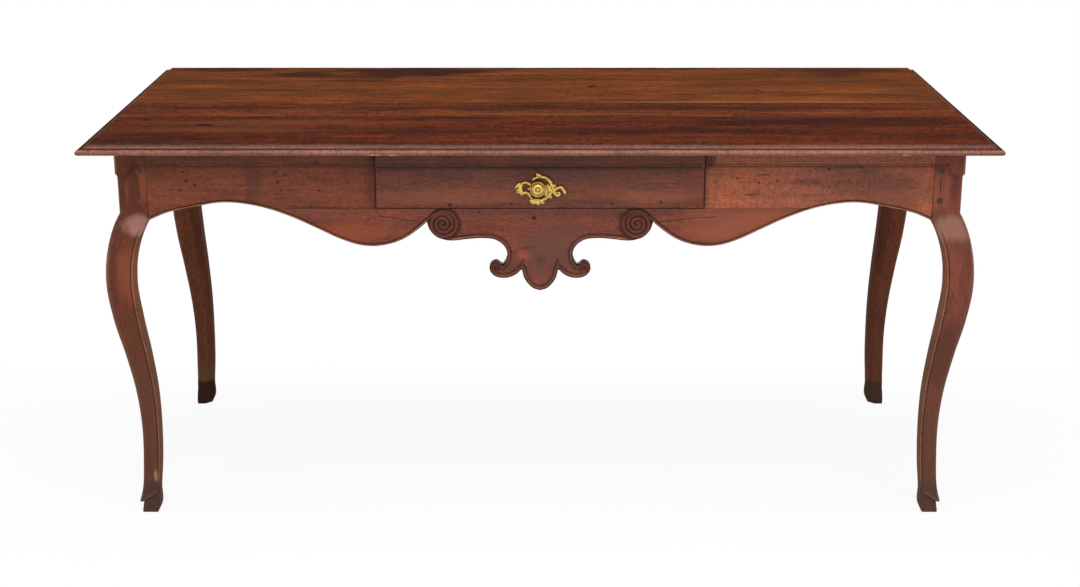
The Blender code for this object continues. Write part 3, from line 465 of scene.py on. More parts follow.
# Lighter than the left apron: partly its own tone, partly painted light, as the right side is lit more
APRON_RIGHT_WOOD = wood(
    "frame_wood_right", 0, 43.0, (0.234, 0.0690, 0.0362), cross=0.45, speck=(230.0, 300.0),
    weights=(0.26, 0.18, 0.20, 0.18, 0.16, 0.60), rubbed=EDGE_WORN_AND_LIT,
    marks=(
        (SMUDGE, "cloud", on_front((
            (0.316, 0.717, 0.016, 0.026, 0.85), (0.62, 0.672, 0.12, 0.030, 0.35),
            (0.42, 0.6865, 0.022, 0.0035, 0.8), (0.401, 0.648, 0.030, 0.003, 0.8),
            (0.55, 0.70, 0.06, 0.008, 0.4), (0.50, 0.672, 0.04, 0.010, 0.35),
        ))),
        ((0.140, 0.0430, 0.0260), "cloud", on_front(((0.67, 0.640, 0.070, 0.050, 0.55),))),
        ((0.27, 0.082, 0.026), "cloud", on_front(((0.37, 0.698, 0.05, 0.012, 0.45),))),
        worm_holes((
            (0.3695, 0.679, 3.4), (0.4096, 0.671, 3.0), (0.444, 0.675, 3.4), (0.541, 0.6975, 3.4),
            (0.372, 0.712, 2.6), (0.60, 0.70, 2.2),
        )),
    ),
)
LOWER_WOOD = wood(
    "frame_wood_lower", 0, 57.0, (0.139, 0.0362, 0.0195), cross=0.25, rubbed=EDGE_WORN_AND_LIT,
    marks=(
        # Painted soft shadow on the lower board under the drawer front
        ((0.060, 0.020, 0.014), "cloud", on_front((
            (-0.10, 0.615, 0.12, 0.010, 0.4), (0.12, 0.612, 0.14, 0.010, 0.4),
        ))),
        ((0.088, 0.035, 0.027), "cloud", on_front(((0.015, 0.535, 0.085, 0.065, 0.7),))),
        ((0.26, 0.056, 0.018), "cloud", on_front((
            (-0.36, 0.575, 0.10, 0.030, 0.42), (-0.25, 0.573, 0.05, 0.016, 0.30),
            (0.33, 0.575, 0.08, 0.020, 0.3),
        ))),
        ((0.215, 0.0590, 0.0305), "cloud", on_front(((0.42, 0.590, 0.15, 0.055, 0.85),))),
        ((0.30, 0.062, 0.026), "cloud", on_front(((-0.031, 0.530, 0.017, 0.012, 0.45),))),
        (SMUDGE, "cloud", on_front(((0.000, 0.523, 0.014, 0.014, 0.40), (-0.025, 0.545, 0.024, 0.005, 0.5)))),
        worm_holes(((-0.0113, 0.603, 6.6), (-0.115, 0.6145, 3.0), (0.06, 0.598, 2.2))),
    ),
)
DRAWER_WOOD = wood(
    "frame_wood_drawer", 0, 71.0, (0.113, 0.0335, 0.0196), cross=0.12,
    marks=(
        ((0.076, 0.026, 0.021), "cloud", on_front((
            (0.10, 0.685, 0.30, 0.032, 0.18), (-0.20, 0.70, 0.16, 0.018, 0.12),
        ))),
        ((0.24, 0.070, 0.030), "cloud", on_front((
            (-0.18, 0.645, 0.16, 0.020, 0.25), (0.20, 0.643, 0.08, 0.018, 0.35),
            (0.10, 0.648, 0.06, 0.012, 0.2),
        ))),
        worm_holes((
            (-0.169, 0.6293, 6.0), (0.135, 0.6312, 4.2), (0.227, 0.635, 4.2), (-0.0544, 0.6312, 3.6),
            (0.262, 0.690, 2.4), (-0.25, 0.66, 2.2),
        )),
    ),
)
BACK_WOOD = wood("frame_wood_back", 0, 83.0, (0.130, 0.037, 0.0200), cross=0.2)
SIDE_WOOD = wood("frame_wood_side", 1, 91.0, (0.140, 0.039, 0.0210), cross=0.2)
LEG_FINISH = {"cross": 0.35, "rubbed": (0.20, 0.100, 0.045), "rough": (0.38, 0.50), "sheen": 0.14}
# On the inner walls of the front and back legs; None is as on the face beside them. The back legs' walls get
# painted shade
INNER_SHADE = {-1: None, 1: 0.2}
INNER_WEAR = {-1: 0.5, 1: 0.0}
# The front right leg is lighter than the front left: partly its own tone, partly painted light from the right
LEG_TONES = {
    (-1, -1): (0.103, 0.0250, 0.0105), (1, -1): (0.122, 0.0320, 0.0175),
    (-1, 1): (0.127, 0.0420, 0.0220), (1, 1): (0.132, 0.0400, 0.0220),
}
HOOF_TONES = {
    (-1, -1): (0.040, 0.0210, 0.0160), (1, -1): (0.046, 0.0250, 0.0180),
    (-1, 1): (0.026, 0.0090, 0.0060), (1, 1): (0.052, 0.0280, 0.0180),
}
LOW_LEG = ((0.084, 0.032, 0.0150), "cloud", on_front(((0.0, 0.200, FAR, 0.260, 0.55),)))
# Painted light on the front knees: a lighter red where they bulge towards the lamps, and a painted sheen on
# their tops
KNEE_GLOW = (0.215, 0.0500, 0.0250)
KNEE_SHEEN = (0.27, 0.130, 0.095)
ORANGE_STREAK = (0.27, 0.075, 0.024)
LEG_MARKS = {
    (-1, -1): (
        LOW_LEG, (KNEE_GLOW, "cloud", on_front(((-0.775, 0.490, 0.030, 0.075, 0.45),))),
        ((0.070, 0.015, 0.006), "cloud", on_front(((-0.765, 0.660, 0.045, 0.070, 0.50),))),
        (KNEE_SHEEN, "cloud", on_front(((-0.755, 0.590, 0.040, 0.022, 0.85),))),
        (ORANGE_STREAK, "streak", on_front((
            (-0.744, 0.670, 0.010, 0.05, 0.40), (-0.775, 0.655, 0.005, 0.04, 0.25),
        ))),
        ((0.28, 0.180, 0.085), "grit", on_front(((-0.757, 0.076, 0.006, 0.016, 0.9),))),
    ),
    (1, -1): (
        LOW_LEG, (KNEE_GLOW, "cloud", on_front(((0.765, 0.510, 0.030, 0.075, 0.20),))),
        (KNEE_SHEEN, "cloud", on_front(((0.775, 0.585, 0.040, 0.030, 0.60),))),
        (ORANGE_STREAK, "streak", on_front((
            (0.744, 0.655, 0.008, 0.05, 0.5), (0.762, 0.665, 0.005, 0.05, 0.5),
        ))),
        ((0.190, 0.0530, 0.0325), "cloud", on_front(((0.762, 0.675, 0.050, 0.070, 0.65),))),
        ((0.062, 0.0180, 0.0090), "cloud", on_front(((0.770, 0.335, 0.120, 0.085, 0.50),))),
        (SMUDGE, "cloud", on_front(((0.778, 0.660, 0.012, 0.045, 0.6),))),
        (SHADE_AND_GRIME, "grit", on_front(((0.7505, 0.665, 0.0016, 0.024, 0.9),))),
    ),
    (-1, 1): (((0.125, 0.066, 0.030), "cloud", on_front(((0.0, 0.070, FAR, 0.040, 0.6),))),),
    (1, 1): (),
}
LEG_WOOD = {
    (side, end): wood(
        f"leg_wood_{end_name}_{side_name}", 2, 101.0 + 13.0 * side + 29.0 * end, LEG_TONES[side, end],
        hoof_tone=HOOF_TONES[side, end], marks=LEG_MARKS[side, end], **LEG_FINISH,
    )
    for side_name, side in SIDES.items()
    for end_name, end in ENDS.items()
}
PEG_WOOD = wood("peg_wood", 1, 131.0, (0.055, 0.0300, 0.0190))
WORN_PEG_WOOD = wood("peg_wood_worn", 1, 133.0, (0.105, 0.0330, 0.0180))
PALE_PEG_WOOD = wood("top_peg_wood", 2, 137.0, (0.110, 0.0580, 0.0340))
INNER_WOOD = wood("inner_wood", 1, 149.0, (0.300, 0.175, 0.088), deep=0.6, pale=1.35, rough=(0.60, 0.78))
GILT_BRASS = brass("gilt_brass")


# Top

# Inset from the edge and height over the underside, in mm: nose, quirk, cove and the top's arris
NOSE_DEPTH_MM = 5.5
NOSE_RISE_MM = 5.25
MOULDING_MM = (
    (6.2, 10.2), (6.9, 9.4), (7.5, 8.4), (8.1, 8.2), (8.5, 8.9), (8.8, 11.0), (9.1, 11.8), (9.7, 12.15),
    (10.4, 12.25), (12.0, 12.45), (13.5, 12.95), (15.0, 13.8), (16.5, 15.0), (18.0, 16.5), (18.6, 17.1),
    (19.2, 17.55), (19.9, 17.85), (21.0, 18.0), (24.0, 18.0),
)
# Where the boards in front of the back one end on top, short of their tongues
SEAM_BEHIND = {
    "top_board_front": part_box("top_board_middle")[0].y - FIT,
    "top_board_middle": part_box("top_board_back")[0].y - FIT,
}
NOSE_MM = (0.0, 0.15, 0.5, 1.1, 2.0, 3.2, 4.4, NOSE_DEPTH_MM)


def nose(inset):
    """Height of the round nose over its middle, in mm."""
    across = np.clip((NOSE_DEPTH_MM - inset) / NOSE_DEPTH_MM, 0.0, 1.0)
    return NOSE_RISE_MM * np.sqrt(1.0 - across**2)


def moulded_run(low, high, low_edge, high_edge, spacing):
    """Places along an axis, close together in a moulding or beside a seam."""
    edge = np.array(NOSE_MM + tuple(inset for inset, _ in MOULDING_MM)) * MM
    seam = np.array((0.0, 0.3, 0.8, 1.6, 4.0)) * MM
    first = low + (edge if low_edge else seam)
    last = high - (edge if high_edge else seam)[::-1]
    between = np.linspace(first[-1], last[0], max(2, int((last[0] - first[-1]) / spacing)))[1:-1]
    return np.concatenate([first, between, last])


def top_board(name, material):
    low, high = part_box(name)
    is_front, is_back = low.y <= TOP_LOW.y + FIT, high.y >= TOP_HIGH.y - FIT
    seam_high = SEAM_BEHIND.get(name, high.y)
    xs = moulded_run(-HALF_TOP_X, HALF_TOP_X, True, True, 0.010)
    ys = moulded_run(low.y, seam_high, is_front, is_back, 0.008)
    x, y = (grid.ravel() for grid in np.meshgrid(xs, ys, indexing="ij"))
    inset = HALF_TOP_X - np.abs(x)
    to_seam = np.full(len(x), 1.0)
    if is_front:
        inset = np.minimum(inset, HALF_TOP_Y + y)
    else:
        to_seam = np.minimum(to_seam, y - low.y)
    if is_back:
        inset = np.minimum(inset, HALF_TOP_Y - y)
    else:
        to_seam = np.minimum(to_seam, seam_high - y)
    inset_mm = np.clip(inset / MM, 0.0, None)
    steps, rises = zip(*MOULDING_MM)
    upper = np.where(
        inset_mm <= NOSE_DEPTH_MM,
        NOSE_RISE_MM + nose(inset_mm),
        np.interp(inset_mm, (NOSE_DEPTH_MM, *steps), (2 * NOSE_RISE_MM, *rises)),
    )
    lower = NOSE_RISE_MM - nose(inset_mm)
    flat = np.stack([x, y, np.zeros(len(x))], axis=1)
    worn = waver(flat, (22.0, 22.0, 0.0), 3.3)
    upper += 0.22 * waver(flat, (2.2, 9.0, 0.0), 1.7) * smooth_step(inset_mm, 19.0, 40.0)
    arris = smooth_step(inset_mm, 17.0, 19.0) * smooth_step(inset_mm, 24.0, 20.0)
    upper -= 0.45 * np.clip(worn, 0.0, 1.0) * arris
    upper -= 0.35 * (1.0 - smooth_step(to_seam / MM, 0.0, 1.2))
    # Painted shade in the quirk and on the upper cove; the dark line at a seam between boards is a real joint
    dirt_and_shade = 0.64 * smooth_step(inset_mm, 4.9, 5.5) * smooth_step(inset_mm, 11.6, 10.4)
    dirt_and_shade = np.maximum(dirt_and_shade, 0.30 * smooth_step(inset_mm, 15.0, 16.5) * smooth_step(inset_mm, 22.0, 20.5))
    dirt_and_shade = np.maximum(dirt_and_shade, 0.75 * (1.0 - smooth_step(to_seam / MM, 0.2, 1.0)))
    # Painted sheen on the lower cove and a painted highlight on the nose's top, weaker on the ends
    wear_and_highlight = 0.74 * smooth_step(inset_mm, 11.0, 12.0) * smooth_step(inset_mm, 16.5, 14.5)
    wear_and_highlight = np.maximum(wear_and_highlight, 0.74 * smooth_step(inset_mm, 5.2, 4.6))
    at_end = HALF_TOP_X - np.abs(x) < HALF_TOP_Y - np.abs(y)
    wear_and_highlight *= 1.0 - 0.70 * at_end
    count = len(x)
    points = np.concatenate([
        np.stack([x, y, UNDERSIDE + upper * MM], axis=1),
        np.stack([x, y, UNDERSIDE + lower * MM], axis=1),
    ])
    index = np.arange(count).reshape(len(xs), len(ys))
    quads = np.stack([index[:-1, :-1], index[1:, :-1], index[1:, 1:], index[:-1, 1:]], axis=-1).reshape(-1, 4)
    faces = [*quads.tolist(), *(quads[:, ::-1] + count).tolist()]
    for column, moulded in ((0, is_front), (-1, is_back)):
        if not moulded:
            line = index[:, column]
            faces += [(a, b, b + count, a + count) for a, b in zip(line[:-1], line[1:])]
    # Painted light on the lower nose, as if lit from below
    lower_nose_light = 0.60 * smooth_step(inset_mm, 5.0, 1.5) * (1.0 - 0.70 * at_end)
    marks = {"dirt_and_shade": np.concatenate([dirt_and_shade, 0 * dirt_and_shade]), "wear_and_highlight": np.concatenate([wear_and_highlight, lower_nose_light])}
    return piece(name + "_worked", points, faces, material, replaces=[name], marks=marks)


TOP_WOODS = {
    "top_board_front": TOP_FRONT_WOOD,
    "top_board_middle": TOP_MIDDLE_WOOD,
    "top_board_back": TOP_BACK_WOOD,
}
for board_name, board_wood in TOP_WOODS.items():
    top_board(board_name, board_wood)


# Aprons and drawer front

# Share of the way from the lobe to the leg, drop below the top's underside
LOBE_X = 0.318
JOINT_DROP = 0.1445
ARCH = (
    (0.924, 0.1308), (0.816, 0.1205), (0.660, 0.1100), (0.494, 0.1187), (0.351, 0.1394), (0.243, 0.1605),
    (0.136, 0.1819), (0.064, 0.1920),
)
# Distance from the middle, drop, for each smooth run between two corners
LOBE = ((LOBE_X, 0.1952), (0.285, 0.1910), (0.255, 0.1794), (0.235, 0.1660), (0.2135, 0.1483))
VOLUTE = (
    (0.2135, 0.1483), (0.2085, 0.1630), (0.1950, 0.1777), (0.1800, 0.1830), (0.1650, 0.1843),
    (0.1400, 0.1817), (0.1077, 0.1795), (0.0850, 0.1825), (0.0710, 0.1912), (0.0627, 0.2050),
    (0.0637, 0.2218), (0.0707, 0.2338),
)
HOOK = (
    (0.0707, 0.2338), (0.0835, 0.2266), (0.0938, 0.2316), (0.0961, 0.2383), (0.0935, 0.2465),
    (0.0853, 0.2545), (0.0690, 0.2580), (0.0465, 0.2515), (0.0347, 0.2405),
)
TIP = (
    (0.0347, 0.2405), (0.0335, 0.2452), (0.0304, 0.2571), (0.0229, 0.2690), (0.0125, 0.2785), (0.0, 0.2825),
)
# Share of the way from the middle to the leg, drop
BACK_EDGE = (
    (0.957, 0.1308), (0.895, 0.1205), (0.807, 0.1100), (0.712, 0.1187), (0.620, 0.1394), (0.530, 0.1590),
    (0.430, 0.1690), (0.250, 0.1710), (0.0, 0.1710),
)
SIDE_EDGE = (
    (0.907, 0.1325), (0.760, 0.1190), (0.610, 0.1140), (0.445, 0.1230), (0.300, 0.1400), (0.165, 0.1530),
    (0.0, 0.1590),
)
EDGE_SPACING = 0.0012
CURVE_STEPS = 16
# Spacing of a relief's points: on its plain face, along its mouldings and along its dirty borders
FACE_SPACING = 0.009
ROW_SPACING = 0.006
BORDER_SPACING = 0.004
# Spacing of a relief's points: on its plain face, along its mouldings and along its dark borders
EDGE_CLEAR = 0.010
STRIP_CLEAR = 0.007
CRACK_CLEAR = 0.004
RIM_CLEAR = 0.00025
SNAP = 1e-7  # points nearer than this are one
# Distance in from a shaped edge and height over the face, in mm: a bead with a quirk behind it
BEAD_MM = (
    (0.0, -1.0), (0.3, -0.5), (0.8, 0.0), (1.4, 0.5), (2.2, 0.95), (3.0, 0.9), (3.7, 0.35), (4.2, -0.4),
    (4.7, -1.2), (5.4, -1.5), (6.1, -1.2), (6.8, -0.4), (7.6, 0.0),
)
# The same across a carved ridge, as shares of its half width
RIDGE = (
    (0.0, 1.5), (0.3, 1.4), (0.55, 0.9), (0.75, 0.0), (0.9, -0.9), (1.0, -1.3), (1.15, -1.2), (1.35, -0.5),
    (1.6, 0.0),
)
# Height over the face by distance up from the strip's lower edge, in mm: fillet, quirk and strip
STRIP_MM = (
    (-4.6, 0.0), (-4.1, 0.0), (-3.9, 0.5), (-3.3, 1.1), (-2.5, 1.4), (-1.7, 1.25), (-1.0, 0.7),
    (-0.7, -0.2), (-0.1, -0.3), (0.1, 3.4), (0.5, 3.85), (1.2, 4.0), (10.0, 4.0), (20.0, 4.0), (30.0, 4.0),
)
CRACK_ROWS_MM = (-2.4, -1.4, -0.7, 0.0, 0.7, 1.4, 2.4)
VOLUTE_CENTRE = (0.1832, 0.5910)
VOLUTE_REACH = 0.0312  # inside this radius only the spiral is carved
VOLUTE_TURNS = 2.75
# Right volute about its centre, in mm: the way in from the lobe's edge, then the spiral
VOLUTE_ENTRY_MM = (
    (33.7, 4.0), (26.5, 10.4), (18.0, 17.6), (8.0, 23.0), (-3.0, 24.8), (-13.6, 22.2), (-22.0, 14.6),
    (-25.8, 5.6),
)
SPIRAL_START_MM = 26.2
SPIRAL_PITCH_MM = 8.6
EYE_MM = (
    (75.5, 501.5), (79.0, 497.6), (84.5, 497.2), (88.6, 501.0), (88.6, 506.4), (84.6, 509.4), (80.6, 507.6),
    (79.6, 503.6), (82.6, 501.6), (85.0, 503.8),
)
EYE_CENTRE = (0.0835, 0.5035)
EYE_REACH = 0.0082
NOTCH_MM = ((34.7, 502.5), (34.2, 508.5), (33.4, 514.5), (32.4, 521.5))


def below_top(run):
    return [(x, UNDERSIDE - drop) for x, drop in run]


def mirrored(half):
    """A symmetric edge from its right half, which runs from the leg to the middle."""
    return np.vstack([half, half[-2::-1] * (-1, 1)])


def front_edge():
    end = JOINT_X - FIT
    arch = [(end, JOINT_DROP)] + [(LOBE_X + share * (end - LOBE_X), drop) for share, drop in ARCH]
    drops = (arch + list(LOBE), VOLUTE, HOOK, TIP)
    runs = [spaced(curve_through(below_top(run), CURVE_STEPS), EDGE_SPACING) for run in drops]
    return mirrored(np.vstack([run[:-1] for run in runs[:-1]] + [runs[-1]]))


def shared_edge(joint, run):
    points = [(joint, JOINT_DROP)] + [(share * joint, drop) for share, drop in run]
    return mirrored(spaced(curve_through(below_top(points), CURVE_STEPS), 2 * EDGE_SPACING))


class Line:
    """A line of points with a half width at each, for distances to it."""

    def __init__(self, points, widths=None):
        self.points = np.asarray(points, float)
        self.widths = np.ones(len(points)) if widths is None else np.asarray(widths, float)
        self.tree = kdtree.KDTree(len(points))
        for i, (x, z) in enumerate(self.points):
            self.tree.insert((x, z, 0.0), i)
        self.tree.balance()

    def away(self, points):
        """Distance of each point from the line, over the half width there."""
        index = np.array([self.tree.find((x, z, 0.0))[1] for x, z in points])
        last = len(self.points) - 1
        best = np.full(len(points), np.inf)
        for step in (-1, 0):
            start = self.points[np.clip(index + step, 0, last)]
            way = self.points[np.clip(index + step + 1, 0, last)] - start
            t = np.sum((points - start) * way, axis=1) / np.maximum(np.sum(way * way, axis=1), 1e-18)
            gap = points - start - np.clip(t, 0.0, 1.0)[:, None] * way
            best = np.minimum(best, np.linalg.norm(gap, axis=1))
        return best / self.widths[index]


def inside(points, loop):
    """True where a point lies in a closed loop."""
    found = np.zeros(len(points), bool)
    for (x_a, z_a), (x_b, z_b) in zip(loop, np.roll(loop, -1, axis=0)):
        if z_a != z_b:
            crossing = (z_a > points[:, 1]) != (z_b > points[:, 1])
            found ^= crossing & (points[:, 0] < x_a + (points[:, 1] - z_a) * (x_b - x_a) / (z_b - z_a))
    return found


def grid_in(low, high, spacing):
    """Points of a triangular grid between two corners."""
    xs = np.arange(low[0], high[0], spacing)
    zs = np.arange(low[1], high[1], spacing * math.sqrt(0.75))
    x, z = np.meshgrid(xs, zs)
    x[1::2] += spacing / 2
    return np.stack([x.ravel(), z.ravel()], axis=1)


def ridges():
    """Lines of the carving on the front: the volutes, the eyes of the hooks and the notch beside the tip."""
    turn = np.linspace(0.0, 2 * math.pi * VOLUTE_TURNS, 260)
    radius = SPIRAL_START_MM - SPIRAL_PITCH_MM * turn / (2 * math.pi)
    spiral = np.stack([-radius * np.cos(turn), -radius * np.sin(turn)], axis=1)
    volute = np.vstack([curve_through([*VOLUTE_ENTRY_MM, tuple(spiral[0])], 14)[:-1], spiral]) * MM
    found = []
    for side in (1, -1):
        place = volute * (side, 1.0) + (side * VOLUTE_CENTRE[0], VOLUTE_CENTRE[1])
        widths = np.interp(np.linspace(0, 1, len(place)), (0.0, 0.15, 0.9, 1.0), (2.7, 4.1, 4.0, 3.6)) * MM
        found.append(Line(place, widths))
        eye = spaced(curve_through(EYE_MM, 8), 0.8) * MM * (side, 1.0)
        found.append(Line(eye, np.linspace(2.0, 1.7, len(eye)) * MM))
        notch = spaced(curve_through(NOTCH_MM, 8), 0.8) * MM * (side, 1.0)
        found.append(Line(notch, np.linspace(4.6, 0.9, len(notch)) * MM))
    return found


def strip_height(z):
    return np.interp((z - STRIP_BOTTOM) / MM, *zip(*STRIP_MM))


def bead_spread(x):
    """How much narrower the bead is than in BEAD_MM: it is broad on the middle and slim on the arches."""
    return 0.72 + 0.58 * smooth_step(np.abs(x), 0.16, 0.30)


def carving(points, edge, lines):
    """Height over the face in mm at each point, its painted shade and dirt, and its wear, 0 to 1."""
    from_middle = np.abs(points[:, 0])
    to_edge = edge.away(points) / MM * bead_spread(from_middle)
    central = 1.0 - smooth_step(from_middle, 0.10, 0.16)
    height = np.interp(to_edge, *zip(*BEAD_MM))
    for line in lines:
        ridge = np.interp(line.away(points), *zip(*RIDGE))
        crest = np.maximum(height, ridge)
        height = np.where(crest > 0.05, crest, np.minimum(height, ridge))
    # Painted shade in the grooves and on the tilted rim of the edge, and softer painted shade behind the
    # pendant's bead, which is darker too
    groove = (0.97 - 0.27 * central) * smooth_step(-height, 0.30, 0.85)
    brink = (0.90 + 0.08 * central) * (1.0 - smooth_step(to_edge - 0.9 * central, 0.8, 1.5))
    hollow = np.maximum(groove, brink)
    shaded = (1.0 - smooth_step(from_middle, 0.10, 0.14)) * smooth_step(to_edge, 3.6, 4.4)
    hollow = np.maximum(hollow, 0.25 * shaded * (1.0 - smooth_step(to_edge, 5.0, 10.0)))
    hollow = np.maximum(hollow, 0.22 * central * (1.0 - smooth_step(to_edge, 4.0, 5.0)))
    crest = smooth_step(height, 0.55, 0.85) * (to_edge < 4.0) * (1.0 - 0.75 * central)
    crest *= 1.0 + 0.5 * (from_middle > 0.25)
    # Painted shade in the grooves of the hooks' eyes
    for side, eye in zip((1, -1), lines[1::3]):
        near = np.linalg.norm(points - (side * EYE_CENTRE[0], EYE_CENTRE[1]), axis=1) < EYE_REACH
        share = eye.away(points)
        height = np.where(near, np.interp(share, *zip(*RIDGE)), height)
        hollow = np.where(near, np.maximum(0.12, 0.75 * smooth_step(share, 0.60, 0.90)), hollow)
        crest = np.where(near, 0.0, crest)
    # The volutes: painted shade over the whole disc and in its grooves, and more on the outer side of its rim
    for side, spiral in zip((1, -1), lines[::3]):
        from_centre = points - (side * VOLUTE_CENTRE[0], VOLUTE_CENTRE[1])
        radius = np.linalg.norm(from_centre, axis=1)
        share = spiral.away(points)
        rim = np.interp(to_edge, (0.0, 0.4, 1.2, 2.4), (-2.2, -0.6, 0.9, 3.0))
        carved = np.minimum(np.interp(share, *zip(*RIDGE)) + 0.4, rim)
        near = radius < VOLUTE_REACH
        height = np.where(near, carved, height)
        hollow = np.where(near, np.maximum(0.40, 0.97 * smooth_step(share, 0.58, 0.86)), hollow)
        crest = np.where(near, 0.0, crest)
        ring = smooth_step(radius, 0.027, 0.030) * smooth_step(radius, 0.037, 0.0325)
        hollow = np.maximum(hollow, 0.8 * ring * smooth_step(-side * from_centre[:, 0], 0.0, 0.012))
    return height, hollow, crest


def relief_points(loop, edge, fine, splits, dark_borders):
    """Places on a board's face: rows along mouldings, cracks and dark borders, and a grid between them."""
    rows = []
    if edge is not None:
        way = np.gradient(edge.points, axis=0)
        way /= np.linalg.norm(way, axis=1)[:, None]
        inward = np.stack([way[:, 1], -way[:, 0]], axis=1)
        for distance, _ in BEAD_MM[1:]:
            reach = distance * MM / bead_spread(edge.points[:, 0])
            row = edge.points + inward * reach[:, None]
            rows.append(row[edge.away(row) > 0.95 * reach])
    low, high = loop.min(axis=0), loop.max(axis=0)
    for rise, _ in STRIP_MM:
        xs = np.arange(low[0] + 0.002, high[0] - 0.002, ROW_SPACING)
        rows.append(np.stack([xs, np.full(len(xs), STRIP_BOTTOM + rise * MM)], axis=1))
    coarse = grid_in(low, high, FACE_SPACING)
    if edge is not None:
        coarse = coarse[edge.away(coarse) > EDGE_CLEAR]
    coarse = coarse[coarse[:, 1] - STRIP_BOTTOM < -STRIP_CLEAR]
    for centre, radius, spacing in fine:
        coarse = coarse[np.linalg.norm(coarse - centre, axis=1) > radius + spacing]
        rows = [row[np.linalg.norm(row - centre, axis=1) > radius + spacing / 2] for row in rows]
        disc = grid_in(np.array(centre) - radius, np.array(centre) + radius, spacing)
        coarse = np.vstack([coarse, disc[np.linalg.norm(disc - centre, axis=1) < radius]])
    for split in splits:
        coarse = coarse[split.away(coarse) > CRACK_CLEAR]
        way = np.gradient(split.points, axis=0)
        across = np.stack([way[:, 1], -way[:, 0]], axis=1) / np.linalg.norm(way, axis=1)[:, None]
        rows += [split.points + across * offset * MM for offset in CRACK_ROWS_MM]
    for start, end, width, _ in dark_borders:
        border = spaced([start, end], BORDER_SPACING)
        aside = np.array([start[1] - end[1], end[0] - start[0]]) / math.dist(start, end)
        rows += [border + aside * sign * width * share for sign in (-1, 1) for share in (0.15, 1.0)]
    free = np.vstack([*rows, coarse])
    return free[inside(free, loop)]


def worked_face(flat, edge, lines, rim, raised, seed, splits, dark_borders):
    """Height over the face in mm at each place, and how dark and how light it is painted, 0 to 1.

    The darkness is painted shade and real dirt, the lightness wear and painted highlights.
    """
    height, hollow, crest = carving(flat, edge, lines) if edge is not None else (np.zeros(len(flat)),) * 3
    strip = strip_height(flat[:, 1])
    height = np.where(strip > 0.02, np.maximum(height, strip), height + strip) + raised / MM
    plain = np.stack([flat[:, 0], np.full(len(flat), seed), flat[:, 1]], axis=1)
    height = height + 0.14 * waver(plain, (9.0, 1.0, 26.0), seed)
    to_rim = rim.away(flat)
    if edge is not None:
        to_rim = np.where(edge.away(flat) < 0.0004, 1.0, to_rim)
    height -= 0.45 * (1.0 - smooth_step(to_rim / MM, 0.0, 0.8))
    drop = (flat[:, 1] - STRIP_BOTTOM) / MM
    # Painted shade in the quirk under the strip, a painted shadow line below its fillet, and a painted
    # highlight on the fillet
    hollow = np.maximum(hollow, 0.35 * smooth_step(drop, -1.6, -0.9) * smooth_step(drop, 0.3, 0.05))
    hollow = np.maximum(hollow, 0.95 * smooth_step(drop, -5.6, -4.6) * smooth_step(drop, -3.3, -3.8))
    crest = np.maximum(0.60 * crest, 0.40 * smooth_step(drop, -3.4, -2.7) * smooth_step(drop, -1.0, -2.0))
    for split in splits:
        gap = split.away(flat) / MM
        height -= 0.7 * (1.0 - smooth_step(gap, 0.0, 0.9))
        hollow = np.maximum(hollow, 0.8 * (1.0 - smooth_step(gap, 0.3, 1.2)))
    # Dark borders: painted shadow under and beside the drawer, and a dark glue line
    for start, end, width, strength in dark_borders:
        gap = Line(spaced([start, end], BORDER_SPACING)).away(flat)
        hollow = np.maximum(hollow, strength * (1.0 - smooth_step(gap, 0.15 * width, width)))
    return height, hollow, crest


def relief(
    name, loop, edge, lines, to_world, depth, material, body, replaces,
    fine=(), raised=0.0, seed=0.0, cracks=(), dark_borders=(),
):
    """A board with a worked face, closed at its back.

    loop is its outline; edge the shaped lower edge, or None; fine are (centre, radius, spacing) of discs that
    need close points; to_world carries (along, height over the face, z) to metres; depth is the back's level;
    cracks are lines of (along, z); grimy are (start, end, width, strength) of straight dark borders: painted
    shadow under and beside the drawer, and dark glue lines.
    """
    loop = np.asarray(loop)
    splits = [Line(spaced(curve_through(crack, 10), EDGE_SPACING)) for crack in cracks]
    rim = Line(np.vstack([loop, loop[:1]]))
    free = relief_points(loop, edge, fine, splits, dark_borders)
    free = free[rim.away(free) > RIM_CLEAR]
    flat = np.vstack([loop, free])
    ring = list(range(len(loop)))
    found = geometry.delaunay_2d_cdt([Vector(point) for point in flat], [], [ring], 1, SNAP)
    places, _, faces, origins = found[:4]
    flat = np.array([tuple(place) for place in places])
    new_index = {old: new for new, olds in enumerate(origins) for old in olds}
    ring = [new_index[i] for i in ring]
    height, hollow, crest = worked_face(flat, edge, lines, rim, raised, seed, splits, dark_borders)
    back = np.full(len(ring), depth / MM)
    points = np.vstack([
        to_world(flat[:, 0], height * MM, flat[:, 1]),
        to_world(flat[ring, 0], back * MM, flat[ring, 1]),
    ])
    start = len(flat)
    shut = geometry.delaunay_2d_cdt([Vector(flat[i]) for i in ring], [], [list(range(len(ring)))], 1, SNAP)
    behind = {new: olds[0] for new, olds in enumerate(shut[3]) if olds}
    faces = [list(face) for face in faces]
    faces += [[start + behind[i] for i in reversed(face)] for face in shut[2]]
    for i, here in enumerate(ring):
        k = (i + 1) % len(ring)
        faces.append((here, ring[k], start + k, start + i))
    quiet = np.zeros(len(ring))
    marks = {"dirt_and_shade": np.concatenate([0.9 * hollow, quiet]), "wear_and_highlight": np.concatenate([crest, quiet])}
    return piece(name, points, faces, material, body, replaces, marks)


